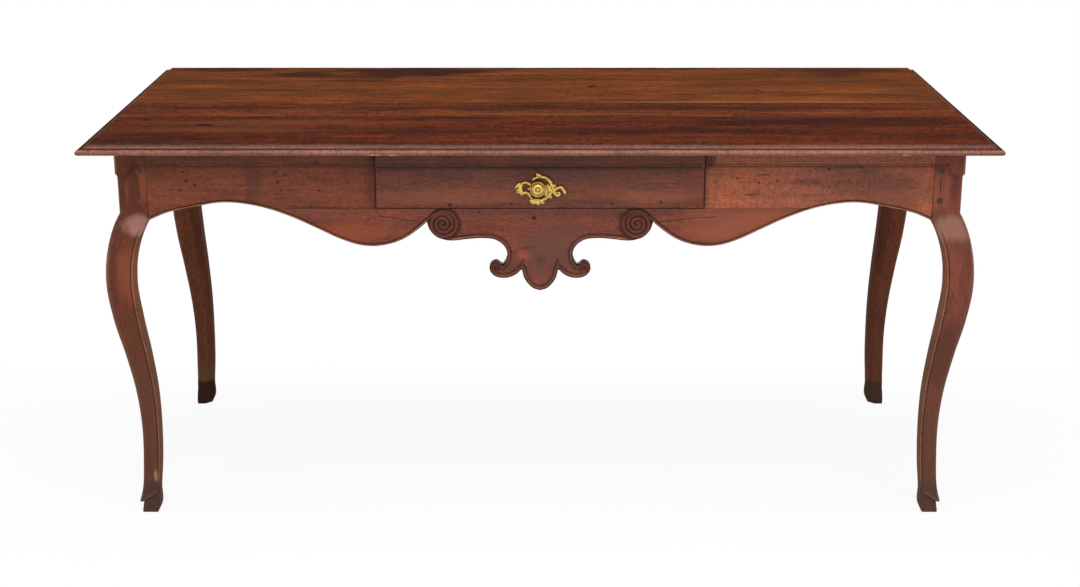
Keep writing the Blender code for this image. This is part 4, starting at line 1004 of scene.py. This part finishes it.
def straight(start, end, spacing=0.0015, levels=False):
    """Points from start up to but not at the end; levels adds those of the strip's profile."""
    run = spaced([start, end], spacing)[:-1]
    if levels:
        zs = [STRIP_BOTTOM + rise * MM for rise, _ in STRIP_MM]
        low, high = sorted((start[1], end[1]))
        zs = [z for z in zs if low + 0.0005 < z < high - 0.0005]
        kept = [point for point in run if all(abs(point[1] - z) > 0.0004 for z in zs)]
        kept += [(start[0], z) for z in zs]
        run = np.array(sorted(kept, key=lambda point: abs(point[1] - start[1])))
    return run


def front_world(x, rise, z):
    return np.stack([x, -HALF_DEPTH - rise, z], axis=1)


FRONT_EDGE = Line(front_edge())
# Discs of the carving that need close points: centre on the right, radius, spacing
CARVED_DISCS = (
    (VOLUTE_CENTRE, 0.0335, 0.0009), ((0.0845, 0.5040), 0.0085, 0.0007), ((0.0330, 0.5120), 0.0110, 0.0009),
)
SEAM_END_GAP = 0.0004  # by which the lower board's glue line stops short of the upper boards' edge
LEFT_CRACKS = (
    ((-0.478, 0.6262), (-0.430, 0.6245), (-0.385, 0.6238)),
)
LOWER_CRACKS = (
    ((-0.3015, 0.6070), (-0.2585, 0.6000), (-0.226, 0.5960)),
    ((0.219, 0.5950), (0.253, 0.5985), (0.2995, 0.6035), (0.330, 0.6050)),
)
# Dark borders: start, end, width and strength; a dark glue line, and painted shadow under and beside the
# drawer
UNDER_DRAWER_SHADOW = ((-OPENING_HALF, SEAM), (OPENING_HALF, SEAM), 0.0016, 0.95)
SEAM_GRIME = ((-0.480, SEAM), (-OPENING_HALF, SEAM), 0.0022, 0.75)


# Beside the drawer's opening: a wide band of painted shadow and dirt, and a narrow painted shadow at the gap
def opening_shade_and_dirt(side, wide, strength):
    x = side * OPENING_HALF
    return [((x, SEAM), (x, FRAME_TOP), wide, strength), ((x, SEAM), (x, FRAME_TOP), 0.0022, 0.95)]


def front_loops():
    """Outlines of the right, left and lower boards of the front, which meet at the glue line."""
    edge = FRONT_EDGE.points
    end_x = edge[0, 0]
    arch = edge[edge[:, 0] > LOBE_X]
    peak = int(np.argmax(arch[:, 1]))
    under = np.nonzero(arch[peak:, 1] < SEAM)[0][0] + peak  # first point of the edge under the glue line
    cross_x = float(np.interp(SEAM, arch[peak:, 1][::-1], arch[peak:, 0][::-1]))
    right = np.vstack([
        edge[:under],
        straight((cross_x, SEAM), (OPENING_HALF, SEAM)),
        straight((OPENING_HALF, SEAM), (OPENING_HALF, FRAME_TOP), levels=True),
        straight((OPENING_HALF, FRAME_TOP), (end_x, FRAME_TOP), ROW_SPACING),
        straight((end_x, FRAME_TOP), tuple(edge[0]), levels=True),
    ])
    seam_end = (cross_x - SEAM_END_GAP, SEAM - FIT)
    lower = np.vstack([
        straight((-seam_end[0], seam_end[1]), seam_end),
        [seam_end],
        edge[under + 1 : len(edge) - under - 1],
    ])
    return right, right[::-1] * (-1, 1), lower


def front_aprons():
    right, left, lower = front_loops()
    left_borders = [SEAM_GRIME, *opening_shade_and_dirt(-1, 0.024, 0.55)]
    for side_name, loop, look, seed, cracks, dark_borders in (
        ("left", left, APRON_LEFT_WOOD, 2.0, LEFT_CRACKS, left_borders),
        ("right", right, APRON_RIGHT_WOOD, 5.0, (), opening_shade_and_dirt(1, 0.010, 0.35)),
    ):
        relief(
            f"apron_front_{side_name}_worked", loop, FRONT_EDGE, [], front_world, -APRON_THICKNESS, look,
            "frame", [f"apron_front_{side_name}"], seed=seed, cracks=cracks, dark_borders=dark_borders,
        )
    discs = [((side * x, z), radius, spacing) for side in (1, -1) for (x, z), radius, spacing in CARVED_DISCS]
    relief(
        "apron_front_lower_worked", lower, FRONT_EDGE, ridges(), front_world, -APRON_THICKNESS, LOWER_WOOD,
        "frame", ["apron_front_lower"], discs, seed=8.0, cracks=LOWER_CRACKS,
        dark_borders=[SEAM_GRIME, UNDER_DRAWER_SHADOW],
    )


def plain_loop(edge):
    end = edge[0, 0]
    return np.vstack([
        edge[:-1],
        straight((-end, edge[-1, 1]), (-end, FRAME_TOP), levels=True),
        straight((-end, FRAME_TOP), (end, FRAME_TOP), ROW_SPACING),
        straight((end, FRAME_TOP), (end, edge[0, 1]), levels=True),
    ])


def back_world(x, rise, z):
    return np.stack([x, HALF_DEPTH + rise, z], axis=1)


def plain_aprons():
    edge = shared_edge(JOINT_X - FIT, BACK_EDGE)
    relief(
        "apron_back_worked", plain_loop(edge), Line(edge), [], back_world, -APRON_THICKNESS, BACK_WOOD,
        "frame", ["apron_back"], seed=11.0,
    )
    edge = shared_edge(JOINT_Y - FIT, SIDE_EDGE)
    for side_name, side in SIDES.items():

        def side_world(y, rise, z, side=side):
            return np.stack([side * (HALF_LENGTH + rise), y, z], axis=1)

        relief(
            f"apron_side_{side_name}_worked", plain_loop(edge), Line(edge), [], side_world, -APRON_THICKNESS,
            SIDE_WOOD, "frame", [f"apron_side_{side_name}"], seed=14.0 + side,
        )


def drawer_front():
    low, high = DRAWER_LOW, DRAWER_HIGH
    corners = [(high.x, high.z), (high.x, low.z), (low.x, low.z), (low.x, high.z)]
    loop = np.vstack([
        straight(corners[0], corners[1], levels=True),
        straight(corners[1], corners[2], BORDER_SPACING),
        straight(corners[2], corners[3], levels=True),
        straight(corners[3], corners[0], BORDER_SPACING),
    ])
    # Thin painted shadow in the gaps at the drawer front's right, bottom and left edges
    relief(
        "drawer_front_worked", loop, None, [], front_world, -HALF_DEPTH - high.y, DRAWER_WOOD,
        "drawer", ["drawer_front"], raised=DRAWER_PROUD, seed=21.0,
        dark_borders=[(start, end, 0.0012, 0.9) for start, end in zip(corners[:3], corners[1:])],
    )


front_aprons()
plain_aprons()
drawer_front()


# Legs

# Share of the height under the block, outer face, inner face, outer corner radius, inner chamfer
LEG_STATIONS = (
    (0.000, -0.0040, -0.0350, 0.005, 0.014), (0.018, -0.0045, -0.0402, 0.006, 0.015),
    (0.080, -0.0075, -0.0415, 0.007, 0.014), (0.160, -0.0100, -0.0455, 0.008, 0.013),
    (0.285, -0.0115, -0.0480, 0.009, 0.012), (0.410, -0.0060, -0.0465, 0.010, 0.012),
    (0.540, 0.0070, -0.0397, 0.012, 0.014), (0.666, 0.0220, -0.0305, 0.013, 0.016),
    (0.786, 0.0295, -0.0255, 0.014, 0.020), (0.860, 0.0265, -0.0285, 0.012, 0.018),
    (0.933, 0.0170, -0.0395, 0.009, 0.010), (0.970, 0.0090, -0.0495, 0.007, 0.004),
    (1.000, 0.0000, -BLOCK, 0.006, 0.002),
)
# Distance from a face's inner edge and height over the face, in mm
LEG_BEAD_MM = (
    (0.0, -1.6), (0.5, -0.7), (1.2, -0.1), (2.2, 0.35), (3.2, 0.5), (4.2, 0.35), (5.0, -0.1), (5.6, -0.7),
    (6.2, -1.0), (6.8, -0.6), (7.6, 0.0),
)
FACE_PLACES = 9  # points across a face between its bead and its corner
# Places across the block, from its outer corner, in mm
BLOCK_MM = (
    55.0, 50.0, 45.0, 40.0, 36.0, 33.4, 32.9, 32.2, 31.0, 30.2, 29.6, 29.4, 28.9, 28.0, 26.5, 24.0, 21.0,
    17.0, 12.0, 8.0,
)
CORNER_STEPS = 5
EAR_RADIUS_MM = 22.0
EAR_FILLET_MM = 3.6
EAR_INSET_MM = 7.5
LIP_LOW_MM = 22.0
LIP_HIGH_MM = 52.0
FOOT_TOP = 0.115
SPUR_MM = {-1: 5.5, 1: 1.5}  # of the front and back feet
# Height in mm and how dark the foot is there
FOOT_STAIN = {
    -1: ((54.0, 0.88), (61.0, 0.75), (66.0, 0.22), (240.0, 0.0)),
    1: ((56.0, 1.0), (58.0, 0.10), (160.0, 0.0)),
}


def leg(name, side, end, material):
    stations = [(share * BLOCK_BOTTOM, *sizes) for share, *sizes in LEG_STATIONS]
    stations = curve_through(stations, 14)
    bead_at, bead_rise = (np.array(column) for column in zip(*LEG_BEAD_MM))
    beaded = len(bead_at)
    block_at = np.array(BLOCK_MM)
    arc = np.linspace(0.0, math.pi / 4, CORNER_STEPS + 1)[1:]
    count = len(block_at)
    corner_at = np.linspace(5.0, 0.0, CORNER_STEPS)
    across = np.concatenate([block_at, corner_at])  # distance from the outer corner on the block
    share = np.concatenate([np.linspace(1.0, 0.12, count), np.linspace(0.08, 0.0, CORNER_STEPS)])

    def ring(z, rise, beads, dirt_and_shade, wear_and_highlight, hoof):
        """One ring; z and rise are given for each place of half an outline, inner edge first."""
        z = np.broadcast_to(np.asarray(z, float), share.shape)
        outer, inner, radius, chamfer = (np.interp(z, stations[:, 0], column) for column in stations.T[1:])
        block = smooth_step(z, BLOCK_BOTTOM - 0.014, BLOCK_BOTTOM)
        width = outer - inner - radius
        face = np.zeros(len(share))
        fill = np.linspace(0.0, 1.0, FACE_PLACES + 1)[1:]
        face[:beaded] = bead_at * MM
        face[beaded:count] = bead_at[-1] * MM + fill * (width[beaded:count] - bead_at[-1] * MM)
        blocky = outer[:count] - inner[:count] - block_at * MM
        blend = block[:count]
        place = inner[:count] + (1 - blend) * face[:count] + blend * np.minimum(blocky, width[:count])
        lift = np.array(rise, float) * np.ones(len(share))
        crown = np.zeros(count)
        crown[beaded:] = 0.9 * (1 - (2 * fill - 1) ** 2)
        crown[:beaded] = bead_rise
        lift[:count] += crown * (1 - blend) * beads
        lift = lift * MM
        middle = outer - radius
        corner = radius[count:] + lift[count:]
        across_u = np.concatenate([outer[:count] + lift[:count], middle[count:] + corner * np.cos(arc)])
        across_v = np.concatenate([place, middle[count:] + corner * np.sin(arc)])
        half = np.stack([across_u, across_v, z], axis=1)
        other = half[-2::-1][:, (1, 0, 2)]
        o, i, c, low_z = outer[0], inner[0], chamfer[0], z[0]
        wall = [(i, o - (o - i - c) * f, low_z) for f in (0.12, 0.4, 0.7, 1.0)]
        wall += [(i + c * 0.35, i + c * 0.65, low_z), (i + c * 0.65, i + c * 0.35, low_z)]
        wall += [(i + c + (o - i - c) * f, i, low_z) for f in (0.0, 0.3, 0.6, 0.88)]
        outline = np.vstack([half, other, wall])
        values = []
        stain = np.maximum(hoof, np.interp(z / MM, *zip(*FOOT_STAIN[end])))
        walls = ((dirt_and_shade, INNER_SHADE[end]), (wear_and_highlight, INNER_WEAR[end]), (stain, None), (0.0, 1.0))
        for value, wall_value in walls:
            value = np.array(value, float) * np.ones(len(share))
            inner_value = value[0] if wall_value is None else wall_value
            values.append(np.concatenate([value, value[-2::-1], np.full(len(wall), inner_value)]))
        if beads:
            # Painted shade in the bead's quirk; wear on its ridge
            quirk = np.zeros(len(share))
            quirk[:beaded] = smooth_step(-bead_rise, 0.3, 0.9) * (bead_at > 4.0)
            ridge = np.zeros(len(share))
            ridge[:beaded] = smooth_step(bead_rise, 0.1, 0.4)
            quirk[:count] *= (1 - blend) * beads
            ridge[:count] *= (1 - blend) * beads
            edges = len(share) * 2 - 1
            values[0][:edges] = np.maximum(values[0][:edges], 0.95 * np.concatenate([quirk, quirk[-2::-1]]))
            values[1][:edges] = np.maximum(values[1][:edges], 0.8 * np.concatenate([ridge, ridge[-2::-1]]))
        return outline, np.stack(values)

    rings = []
    lip = (LIP_LOW_MM + (LIP_HIGH_MM - LIP_LOW_MM) * share**0.9) * MM
    near = (1 - share) ** 3
    corner_wear = 0.12 * smooth_step(share, 0.10, 0.06)
    for f in np.linspace(0.0, 1.0, 10):
        rings.append(ring(f * lip, -1.6 * f * (1 - share) ** 0.5 - 0.6 * f, 0.0, 0.0, 0.0, 0.9))
    for f in (0.0, 0.02, 0.05, 0.1, 0.17, 0.25, 0.34, 0.44, 0.55, 0.66, 0.78, 0.9):
        flare = (SPUR_MM[end] * near + 1.2 * (1 - share)) * (1 - f) ** 4.5
        # Painted shade under the foot's lip
        lip_shade = 0.6 * (f == 0.0)
        edge_wear = 0.25 * (0.0 < f < 0.06) * (end < 0)
        beads = smooth_step(f, 0.1, 0.5)
        rings.append(ring(lip + f * (FOOT_TOP - lip), flare, beads, lip_shade, edge_wear, 0.0))
    for z in np.linspace(FOOT_TOP, BLOCK_BOTTOM, 64):
        rings.append(ring(z, 0.0, smooth_step(BLOCK_BOTTOM - z, 0.008, 0.050), 0.0, corner_wear, 0.0))
    reach = np.abs(across - EAR_INSET_MM)
    ear = np.sqrt(np.clip(EAR_RADIUS_MM**2 - reach**2, 0.0, None))
    fillet = np.sqrt(np.clip((EAR_RADIUS_MM + EAR_FILLET_MM) ** 2 - reach**2, 0.0, None))
    upper = STRIP_BOTTOM - ear * MM
    lower = STRIP_BOTTOM - np.maximum(fillet, EAR_FILLET_MM + 0.4) * MM
    # The ear: painted shade in the crease at its foot, in the groove at its top and in the quirk under the
    # strip
    for f in np.linspace(0.0, 1.0, 9)[1:]:
        rings.append(ring(BLOCK_BOTTOM + f * (lower - BLOCK_BOTTOM), 0.0, 0.0, 0.5 * (f == 1.0), 0.0, 0.0))
    for f in (0.08, 0.25, 0.5, 0.75, 0.9, 0.97):
        round_rise = 1.4 * math.sqrt(1 - (2 * f - 1) ** 2)
        groove_shade = 0.9 * (f > 0.7)
        crest_wear = 0.3 * (f == 0.5)
        rings.append(ring(lower + f * (upper - lower), round_rise, 0.0, groove_shade, crest_wear, 0.0))
    rings.append(ring(upper, -0.2, 0.0, 0.85, 0.0, 0.0))
    for gap, rise in ((0.05, 3.3), (0.5, 3.85), (1.2, 4.0)):
        rings.append(ring(upper + gap * MM, rise, 0.0, 0.0, 0.25 * (gap < 0.6), 0.0))
    for f in (0.4, 0.7, 1.0):
        rings.append(ring(upper + 1.2 * MM + f * (FRAME_TOP - upper - 1.2 * MM), 4.0, 0.0, 0.0, 0.0, 0.0))
    shape = np.vstack([outline for outline, _ in rings])
    marks = np.hstack([values for _, values in rings])
    out_x, out_y, heights = shape.T
    points = np.stack([side * (HALF_LENGTH + out_x), end * (HALF_DEPTH + out_y), heights], axis=1)
    uneven = waver(points, (26.0, 26.0, 8.0), 3.0 * side + end)
    shaved = (heights > 0.07) & (heights < 0.60)
    points += 0.0002 * uneven[:, None] * np.array((side, end, 0.0)) * shaved[:, None]
    faces = tube_faces(0, len(rings), len(rings[0][0]))
    named = dict(zip(("dirt_and_shade", "wear_and_highlight", "hoof", "dull"), marks))
    return piece(name + "_worked", points, faces, material, replaces=[name], marks=named)


for side_name, side in SIDES.items():
    for end_name, end in ENDS.items():
        leg(f"leg_{end_name}_{side_name}", side, end, LEG_WOOD[side, end])


# Pegs

# Share of the radius, height over the face
PEG_DOME = ((1.0, -0.0002), (0.97, 0.0), (0.80, 0.00018), (0.45, 0.00034), (0.0, 0.0004))
PEG_SIDES = 28
TIP_RADIUS = 1e-5  # of a ring that closes a turned piece


def turned(name, profile, sides, origin, axis, material, body, replaces, marks=None):
    """A body of revolution: profile holds (radius, distance along the axis), from back to front."""
    axis = np.array(axis, float)
    first = np.cross(axis, (0.3, 0.5, 0.8))
    first /= np.linalg.norm(first)
    second = np.cross(axis, first)
    turn = np.arange(sides) * 2 * math.pi / sides
    circle = np.cos(turn)[:, None] * first + np.sin(turn)[:, None] * second
    rings = [np.array(origin) + axis * along + circle * max(radius, TIP_RADIUS) for radius, along in profile]
    points = np.vstack(rings)
    faces = tube_faces(0, len(profile), sides)
    named = None
    if marks is not None:
        named = {"dirt_and_shade": np.repeat(marks, sides)}
    return piece(name, points, faces, material, body, replaces, named)


def peg(node):
    low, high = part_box(node)
    in_top = node.startswith("top_peg")
    along = 2 if in_top else (0 if "_side_" in node else 1)
    face = list((low + high) / 2)
    sign = 1 if face[along] > 0 else -1
    face[along] = high[along] if sign > 0 else low[along]
    axis = [sign if i == along else 0 for i in range(3)]
    across = 0 if in_top else 2
    radius = (high[across] - low[across]) / 2
    profile = [(radius, low[along] - high[along])] + [(radius * share, rise) for share, rise in PEG_DOME]
    look = WORN_PEG_WOOD if "front_left" in node else PEG_WOOD
    if in_top and node.endswith("front"):
        look = PALE_PEG_WOOD
    turned(node + "_worked", profile, PEG_SIDES, face, axis, look, "frame", [node])


for node_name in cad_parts:
    if node_name.startswith(("peg_", "top_peg_")):
        peg(node_name)


# Brass pull

# Radius and distance in front of the plate, from back to front, in mm
KNOB_MM = (
    (9.7, 0.0), (9.7, 1.6), (9.0, 2.8), (7.4, 3.8), (6.0, 5.2), (5.8, 7.0), (6.6, 9.6), (8.4, 12.0),
    (10.8, 14.2), (13.0, 16.0), (14.2, 17.6), (14.6, 19.0), (14.5, 20.2), (14.0, 21.0), (13.4, 21.2),
    (12.8, 20.9), (12.4, 20.3), (12.0, 20.2), (11.6, 20.8), (11.0, 21.9), (10.0, 23.0), (8.8, 23.8),
    (7.4, 24.3), (6.2, 24.4), (5.4, 24.1), (4.9, 23.5), (4.4, 23.2), (3.9, 23.3), (3.5, 24.1), (3.0, 24.9),
    (2.2, 25.6), (1.2, 26.1), (0.0, 26.25),
)
# Inner and outer radius of each groove on the knob's face, darkened: tarnish and painted shade
KNOB_GROOVES_MM = ((11.8, 12.6), (4.1, 5.0))
KNOB_FACE_MM = 16.0
KNOB_SIDES = 72
# Darker in the grooves and behind the knob's face: tarnish and painted shade
KNOB_SHADE_AND_TARNISH = [
    0.75 if any(low < radius < high for low, high in KNOB_GROOVES_MM) else 0.40 * (along < KNOB_FACE_MM)
    for radius, along in KNOB_MM
]
# Strokes of the openwork mount about the knob's axis, in mm: right, up, half width
MOUNT_MM = (
    ((-8.4, 14.3, 2.0), (-4.0, 17.3, 2.2), (3.9, 18.8, 2.3), (11.4, 18.1, 2.4), (17.5, 15.3, 2.6),
     (22.2, 10.6, 2.6), (25.3, 4.7, 2.4), (27.3, -0.5, 2.3)),
    ((6.3, 18.7, 1.7), (2.5, 22.0, 3.0), (0.2, 24.3, 2.7), (-1.7, 27.1, 1.3), (-2.6, 28.4, 0.5)),
    ((28.3, 0.5, 1.9), (31.1, 2.8, 2.4), (32.5, 5.1, 1.3), (32.9, 6.6, 0.5)),
    ((28.3, -8.0, 2.2), (32.0, -5.1, 2.3), (36.7, -1.9, 2.3), (41.8, -0.5, 2.3), (46.1, -3.3, 2.3),
     (49.3, -8.4, 2.2), (50.3, -12.2, 1.9), (49.6, -14.0, 1.2)),
    ((30.1, -8.9, 2.2), (32.5, -13.6, 2.1), (37.2, -16.6, 1.9), (40.4, -15.0, 1.7), (40.2, -11.9, 1.5),
     (37.2, -10.8, 1.3), (35.3, -11.5, 1.0)),
    ((16.6, 3.3, 2.2), (19.8, -1.4, 3.0), (23.6, -6.1, 3.2), (27.3, -8.9, 2.7), (30.1, -8.0, 2.1)),
    ((27.0, -1.0, 2.0), (28.5, -5.0, 2.2), (28.3, -8.0, 2.2)),
    ((13.8, 3.7, 1.8), (16.6, -3.3, 1.9), (16.6, -10.8, 1.9), (13.8, -17.3, 1.8)),
    ((25.5, -8.9, 2.4), (21.7, -14.5, 2.4), (17.0, -20.1, 2.2), (11.4, -23.9, 2.2), (3.9, -25.3, 2.2),
     (-3.6, -24.8, 2.2), (-10.1, -23.9, 2.1), (-13.4, -21.0, 1.9)),
    ((22.7, -16.4, 2.2), (23.6, -20.1, 2.1), (22.7, -23.4, 0.9)),
    ((-12.0, -23.9, 2.6), (-11.0, -27.6, 2.9), (-7.8, -30.9, 2.5), (-5.4, -32.8, 1.2)),
    ((-1.7, -25.7, 2.8), (-0.3, -30.0, 3.0), (0.7, -33.7, 2.5), (0.7, -35.9, 1.0)),
    ((3.9, -25.7, 2.8), (7.7, -29.0, 2.8), (11.0, -30.0, 2.2), (12.8, -29.0, 1.0)),
    ((-6.4, -26.7, 2.5), (-4.5, -30.4, 2.6), (-2.6, -33.2, 1.3)),
    ((-14.8, -20.1, 1.7), (-15.3, -16.4, 1.9), (-17.6, -13.1, 2.1), (-22.3, -11.2, 2.1),
     (-27.4, -11.7, 2.1), (-31.2, -12.6, 1.9)),
    ((-29.8, 6.1, 2.4), (-32.1, 0.5, 2.8), (-32.1, -6.1, 3.0), (-30.7, -12.6, 2.5), (-29.3, -17.3, 0.9)),
    ((-30.2, 5.6, 2.1), (-26.0, 8.0, 1.9), (-21.3, 8.4, 2.1), (-17.1, 6.1, 1.9), (-13.4, 3.7, 1.7)),
    ((-33.5, 7.0, 1.9), (-36.8, 3.7, 2.1), (-40.0, 0.0, 2.0), (-42.4, -1.9, 1.2)),
    ((-34.4, -5.1, 2.0), (-38.2, -7.0, 1.4)),
    ((-34.0, -9.8, 1.8), (-38.2, -11.2, 1.2)),
    ((-13.9, -3.7, 2.8), (-17.1, -4.2, 1.7), (-20.2, -3.7, 0.5)),
)
PEARLS_MM = (
    (-42.1, -1.9, 2.1), (-39.1, -6.7, 2.1), (-39.6, -10.8, 1.8), (-34.9, -2.3, 1.9), (-8.2, 13.9, 2.5),
    (36.4, -11.4, 1.9),
)
STROKE_SPREAD = 1.46  # strokes are made this much wider than listed
MOUNT_SIDES = 12
MOUNT_VOXEL = 0.00034


def mount_point(x, z, rise):
    return (KNOB_X + x * MM, PLATE_HIGH.y - rise * MM, KNOB_Z + z * MM)


def stroke(points, faces, line):
    """A rounded bar that follows a line of (right, up, half width) and lies on the plate's back level."""
    line = np.asarray(line, float)
    way = np.gradient(line[:, :2], axis=0)
    way /= np.linalg.norm(way, axis=1)[:, None]
    turn = np.arange(MOUNT_SIDES) * 2 * math.pi / MOUNT_SIDES
    start = len(points)
    for (x, z, width), (along_x, along_z) in zip(line, way):
        depth = 0.52 * width + 0.9
        for a in turn:
            side = width * math.cos(a)
            points.append(mount_point(x - along_z * side, z + along_x * side, depth + depth * math.sin(a)))
    faces += tube_faces(start, len(line), MOUNT_SIDES)


def mount():
    points, faces = [], []
    for line in MOUNT_MM:
        line = curve_through(line, 7) * (1.0, 1.0, STROKE_SPREAD)
        ends = [line[0] * (1, 1, 0.35), *line, line[-1] * (1, 1, 0.35)]
        ends[0][:2] -= (line[1] - line[0])[:2] * 0.6
        ends[-1][:2] += (line[-1] - line[-2])[:2] * 0.6
        stroke(points, faces, ends)
    for x, z, radius in PEARLS_MM:
        turns = np.linspace(0.12, math.pi - 0.12, 9)
        stroke(points, faces, [(x - radius * math.cos(a), z, radius * math.sin(a)) for a in turns])
    mesh = bpy.data.meshes.new("mount_strokes")
    mesh.from_pydata(points, [], faces)
    face_outward(mesh)
    guide = bpy.data.objects.new("mount_strokes", mesh)
    bpy.context.scene.collection.objects.link(guide)
    remesh = guide.modifiers.new("merge", "REMESH")
    remesh.mode = "VOXEL"
    remesh.voxel_size = MOUNT_VOXEL
    bpy.context.view_layer.update()
    merged = bpy.data.meshes.new_from_object(guide.evaluated_get(bpy.context.evaluated_depsgraph_get()))
    bpy.data.objects.remove(guide)
    merged.name = "knob_back_plate_worked"
    levels = np.array([vertex.co.y for vertex in merged.vertices])
    rise = (PLATE_HIGH.y - levels) / MM
    # Darker where the strokes meet the plate: tarnish and painted shade
    dirt_and_shade = 0.9 * (1.0 - smooth_step(rise, 1.0, 3.1))
    merged.attributes.new("dirt_and_shade", "FLOAT", "POINT").data.foreach_set("value", dirt_and_shade.astype(np.float32))
    return shown(merged.name, merged, GILT_BRASS, "drawer", ["knob_back_plate"])


mount()
turned(
    "drawer_knob_worked", [(radius * MM, along * MM) for radius, along in KNOB_MM], KNOB_SIDES,
    (KNOB_X, PLATE_LOW.y - FIT, KNOB_Z), (0, -1, 0), GILT_BRASS,
    "drawer", ["drawer_knob"], KNOB_SHADE_AND_TARNISH,
)


# Plain CAD pieces that stay in view

PLAIN_WOOD = (
    "drawer_side", "drawer_back", "drawer_bottom",
    "drawer_runner", "drawer_guide", "drawer_kicker", "drawer_stop",
)
PLAIN_BRASS = ("knob_washer", "knob_nut", "plate_pin")
for starts, plain in ((PLAIN_WOOD, INNER_WOOD), (PLAIN_BRASS, GILT_BRASS)):
    for node_name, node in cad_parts.items():
        if node_name.startswith(starts):
            for holder in node.material_slots:
                holder.material = plain


# Studio

FLOOR_HALF = 40.0
FLOOR_WHITE = 0.80
SHADOW_SHARE = 0.10  # how much of the lit floor is seen near the table; the rest is plain white
SHADOW_NEAR = 0.9  # metres from the middle to which the shadow is full
SHADOW_FAR = 2.0  # and by which it has faded
SHADOW_BACK = (0.10, 0.60)  # metres behind the middle over which it fades too
BACKDROP_TOP = 0.034  # sine of the elevation at which the white backdrop has ended
BACKDROP_FULL = 0.010  # and below which it is plain white
WORLD_STRENGTH = 0.03  # above the backdrop, and for all light that falls on the table
# Place, target, width, height and power in watts
LAMPS = {
    "key": ((0.7, -3.0, 2.7), (0.0, -0.2, 0.5), 3.4, 1.5, 92.0),
    "front": ((0.2, -3.3, 0.42), (0.0, -0.3, 0.62), 3.0, 0.6, 20.0),
    "overhead": ((0.0, -0.9, 3.2), (0.0, 0.0, 0.6), 3.6, 2.4, 94.0),
    "fill": ((-2.6, -2.6, 1.6), (0.0, -0.2, 0.5), 1.6, 1.6, 26.0),
    "back": ((0.0, 3.2, 0.42), (0.0, 0.4, 0.55), 3.0, 0.6, 40.0),
    "side_left": ((-3.2, 0.0, 0.45), (-0.6, 0.0, 0.55), 1.6, 0.6, 22.0),
    "side_right": ((3.2, 0.0, 0.45), (0.6, 0.0, 0.55), 1.6, 0.6, 22.0),
}
CAMERA_PLACE = (0.0, -3.634, 1.470)
CAMERA_PITCH = 17.064  # degrees below the horizon
CAMERA_LENS = 60.495  # mm, for a sensor of this width
SENSOR_WIDTH = 36.0


def seen_directly(look):
    """1 for rays that show the surroundings as they are: from the camera, mirrors and glass."""
    path = look.node("LightPath", {})
    found = path.outputs["Is Camera Ray"]
    for name in ("Is Glossy Ray", "Is Transmission Ray"):
        found = look.math("MAXIMUM", found, path.outputs[name])
    return found


def floor():
    mesh = bpy.data.meshes.new("floor")
    corners = [(-1, -1), (1, -1), (1, 1), (-1, 1)]
    mesh.from_pydata([(x * FLOOR_HALF, y * FLOOR_HALF, 0.0) for x, y in corners], [], [(0, 1, 2, 3)])
    plane = bpy.data.objects.new("floor", mesh)
    bpy.context.scene.collection.objects.link(plane)
    look = Look(bpy.data.materials.new("floor_white"))
    tint = look.noise((3.0, 3.0, 3.0), 1.0, 4.0)
    shade = look.ramp(tint, 0.2, 0.8, FLOOR_WHITE - 0.01, FLOOR_WHITE + 0.01)
    look.set(Base_Color=look.node("CombineColor", {0: shade, 1: shade, 2: shade}).outputs[0], Roughness=0.9)
    look.set(Specular_IOR_Level=0.1)
    glow = look.node("Emission", {"Color": (1.0, 1.0, 1.0), "Strength": 1.0}).outputs[0]
    away = look.node("VectorMath", {0: look.place}, operation="LENGTH").outputs["Value"]
    plain = look.ramp(away, SHADOW_NEAR, SHADOW_FAR, 1.0 - SHADOW_SHARE, 1.0)
    back = look.node("SeparateXYZ", {0: look.place}).outputs["Y"]
    plain = look.math("MAXIMUM", plain, look.ramp(back, *SHADOW_BACK, 1.0 - SHADOW_SHARE, 1.0))
    share = look.math("MULTIPLY", seen_directly(look), plain)
    mixed = look.node("MixShader", {0: share, 1: look.shader.outputs[0], 2: glow})
    look.links.new(mixed.outputs[0], look.nodes["Material Output"].inputs["Surface"])
    mesh.materials.append(look.holder)


def surroundings():
    world = bpy.data.worlds.new("studio")
    bpy.context.scene.world = world
    look = Look(world, "Background", "Generated")
    rise = look.node("SeparateXYZ", {0: look.place}).outputs["Z"]
    white = look.math("MULTIPLY", seen_directly(look), look.ramp(rise, BACKDROP_TOP, BACKDROP_FULL))
    level = look.node("MapRange", {"Value": white, "To Min": WORLD_STRENGTH, "To Max": 1.0})
    look.set(Color=(1.0, 1.0, 1.0), Strength=level.outputs["Result"])


def lamp(name, place, target, width, height, power):
    data = bpy.data.lights.new(name, "AREA")
    data.shape = "RECTANGLE"
    data.size, data.size_y = width, height
    data.energy = power
    holder = bpy.data.objects.new(name, data)
    holder.location = place
    holder.rotation_euler = (Vector(target) - Vector(place)).to_track_quat("-Z", "Y").to_euler()
    bpy.context.scene.collection.objects.link(holder)


def camera():
    data = bpy.data.cameras.new("camera")
    data.sensor_width = SENSOR_WIDTH
    data.lens = CAMERA_LENS
    holder = bpy.data.objects.new("camera", data)
    holder.location = CAMERA_PLACE
    holder.rotation_euler = (math.radians(90.0 - CAMERA_PITCH), 0.0, 0.0)
    bpy.context.scene.collection.objects.link(holder)
    bpy.context.scene.camera = holder


floor()
surroundings()
for lamp_name, setting in LAMPS.items():
    lamp(lamp_name, *setting)
camera()
bpy.context.scene.view_settings.view_transform = "Standard"
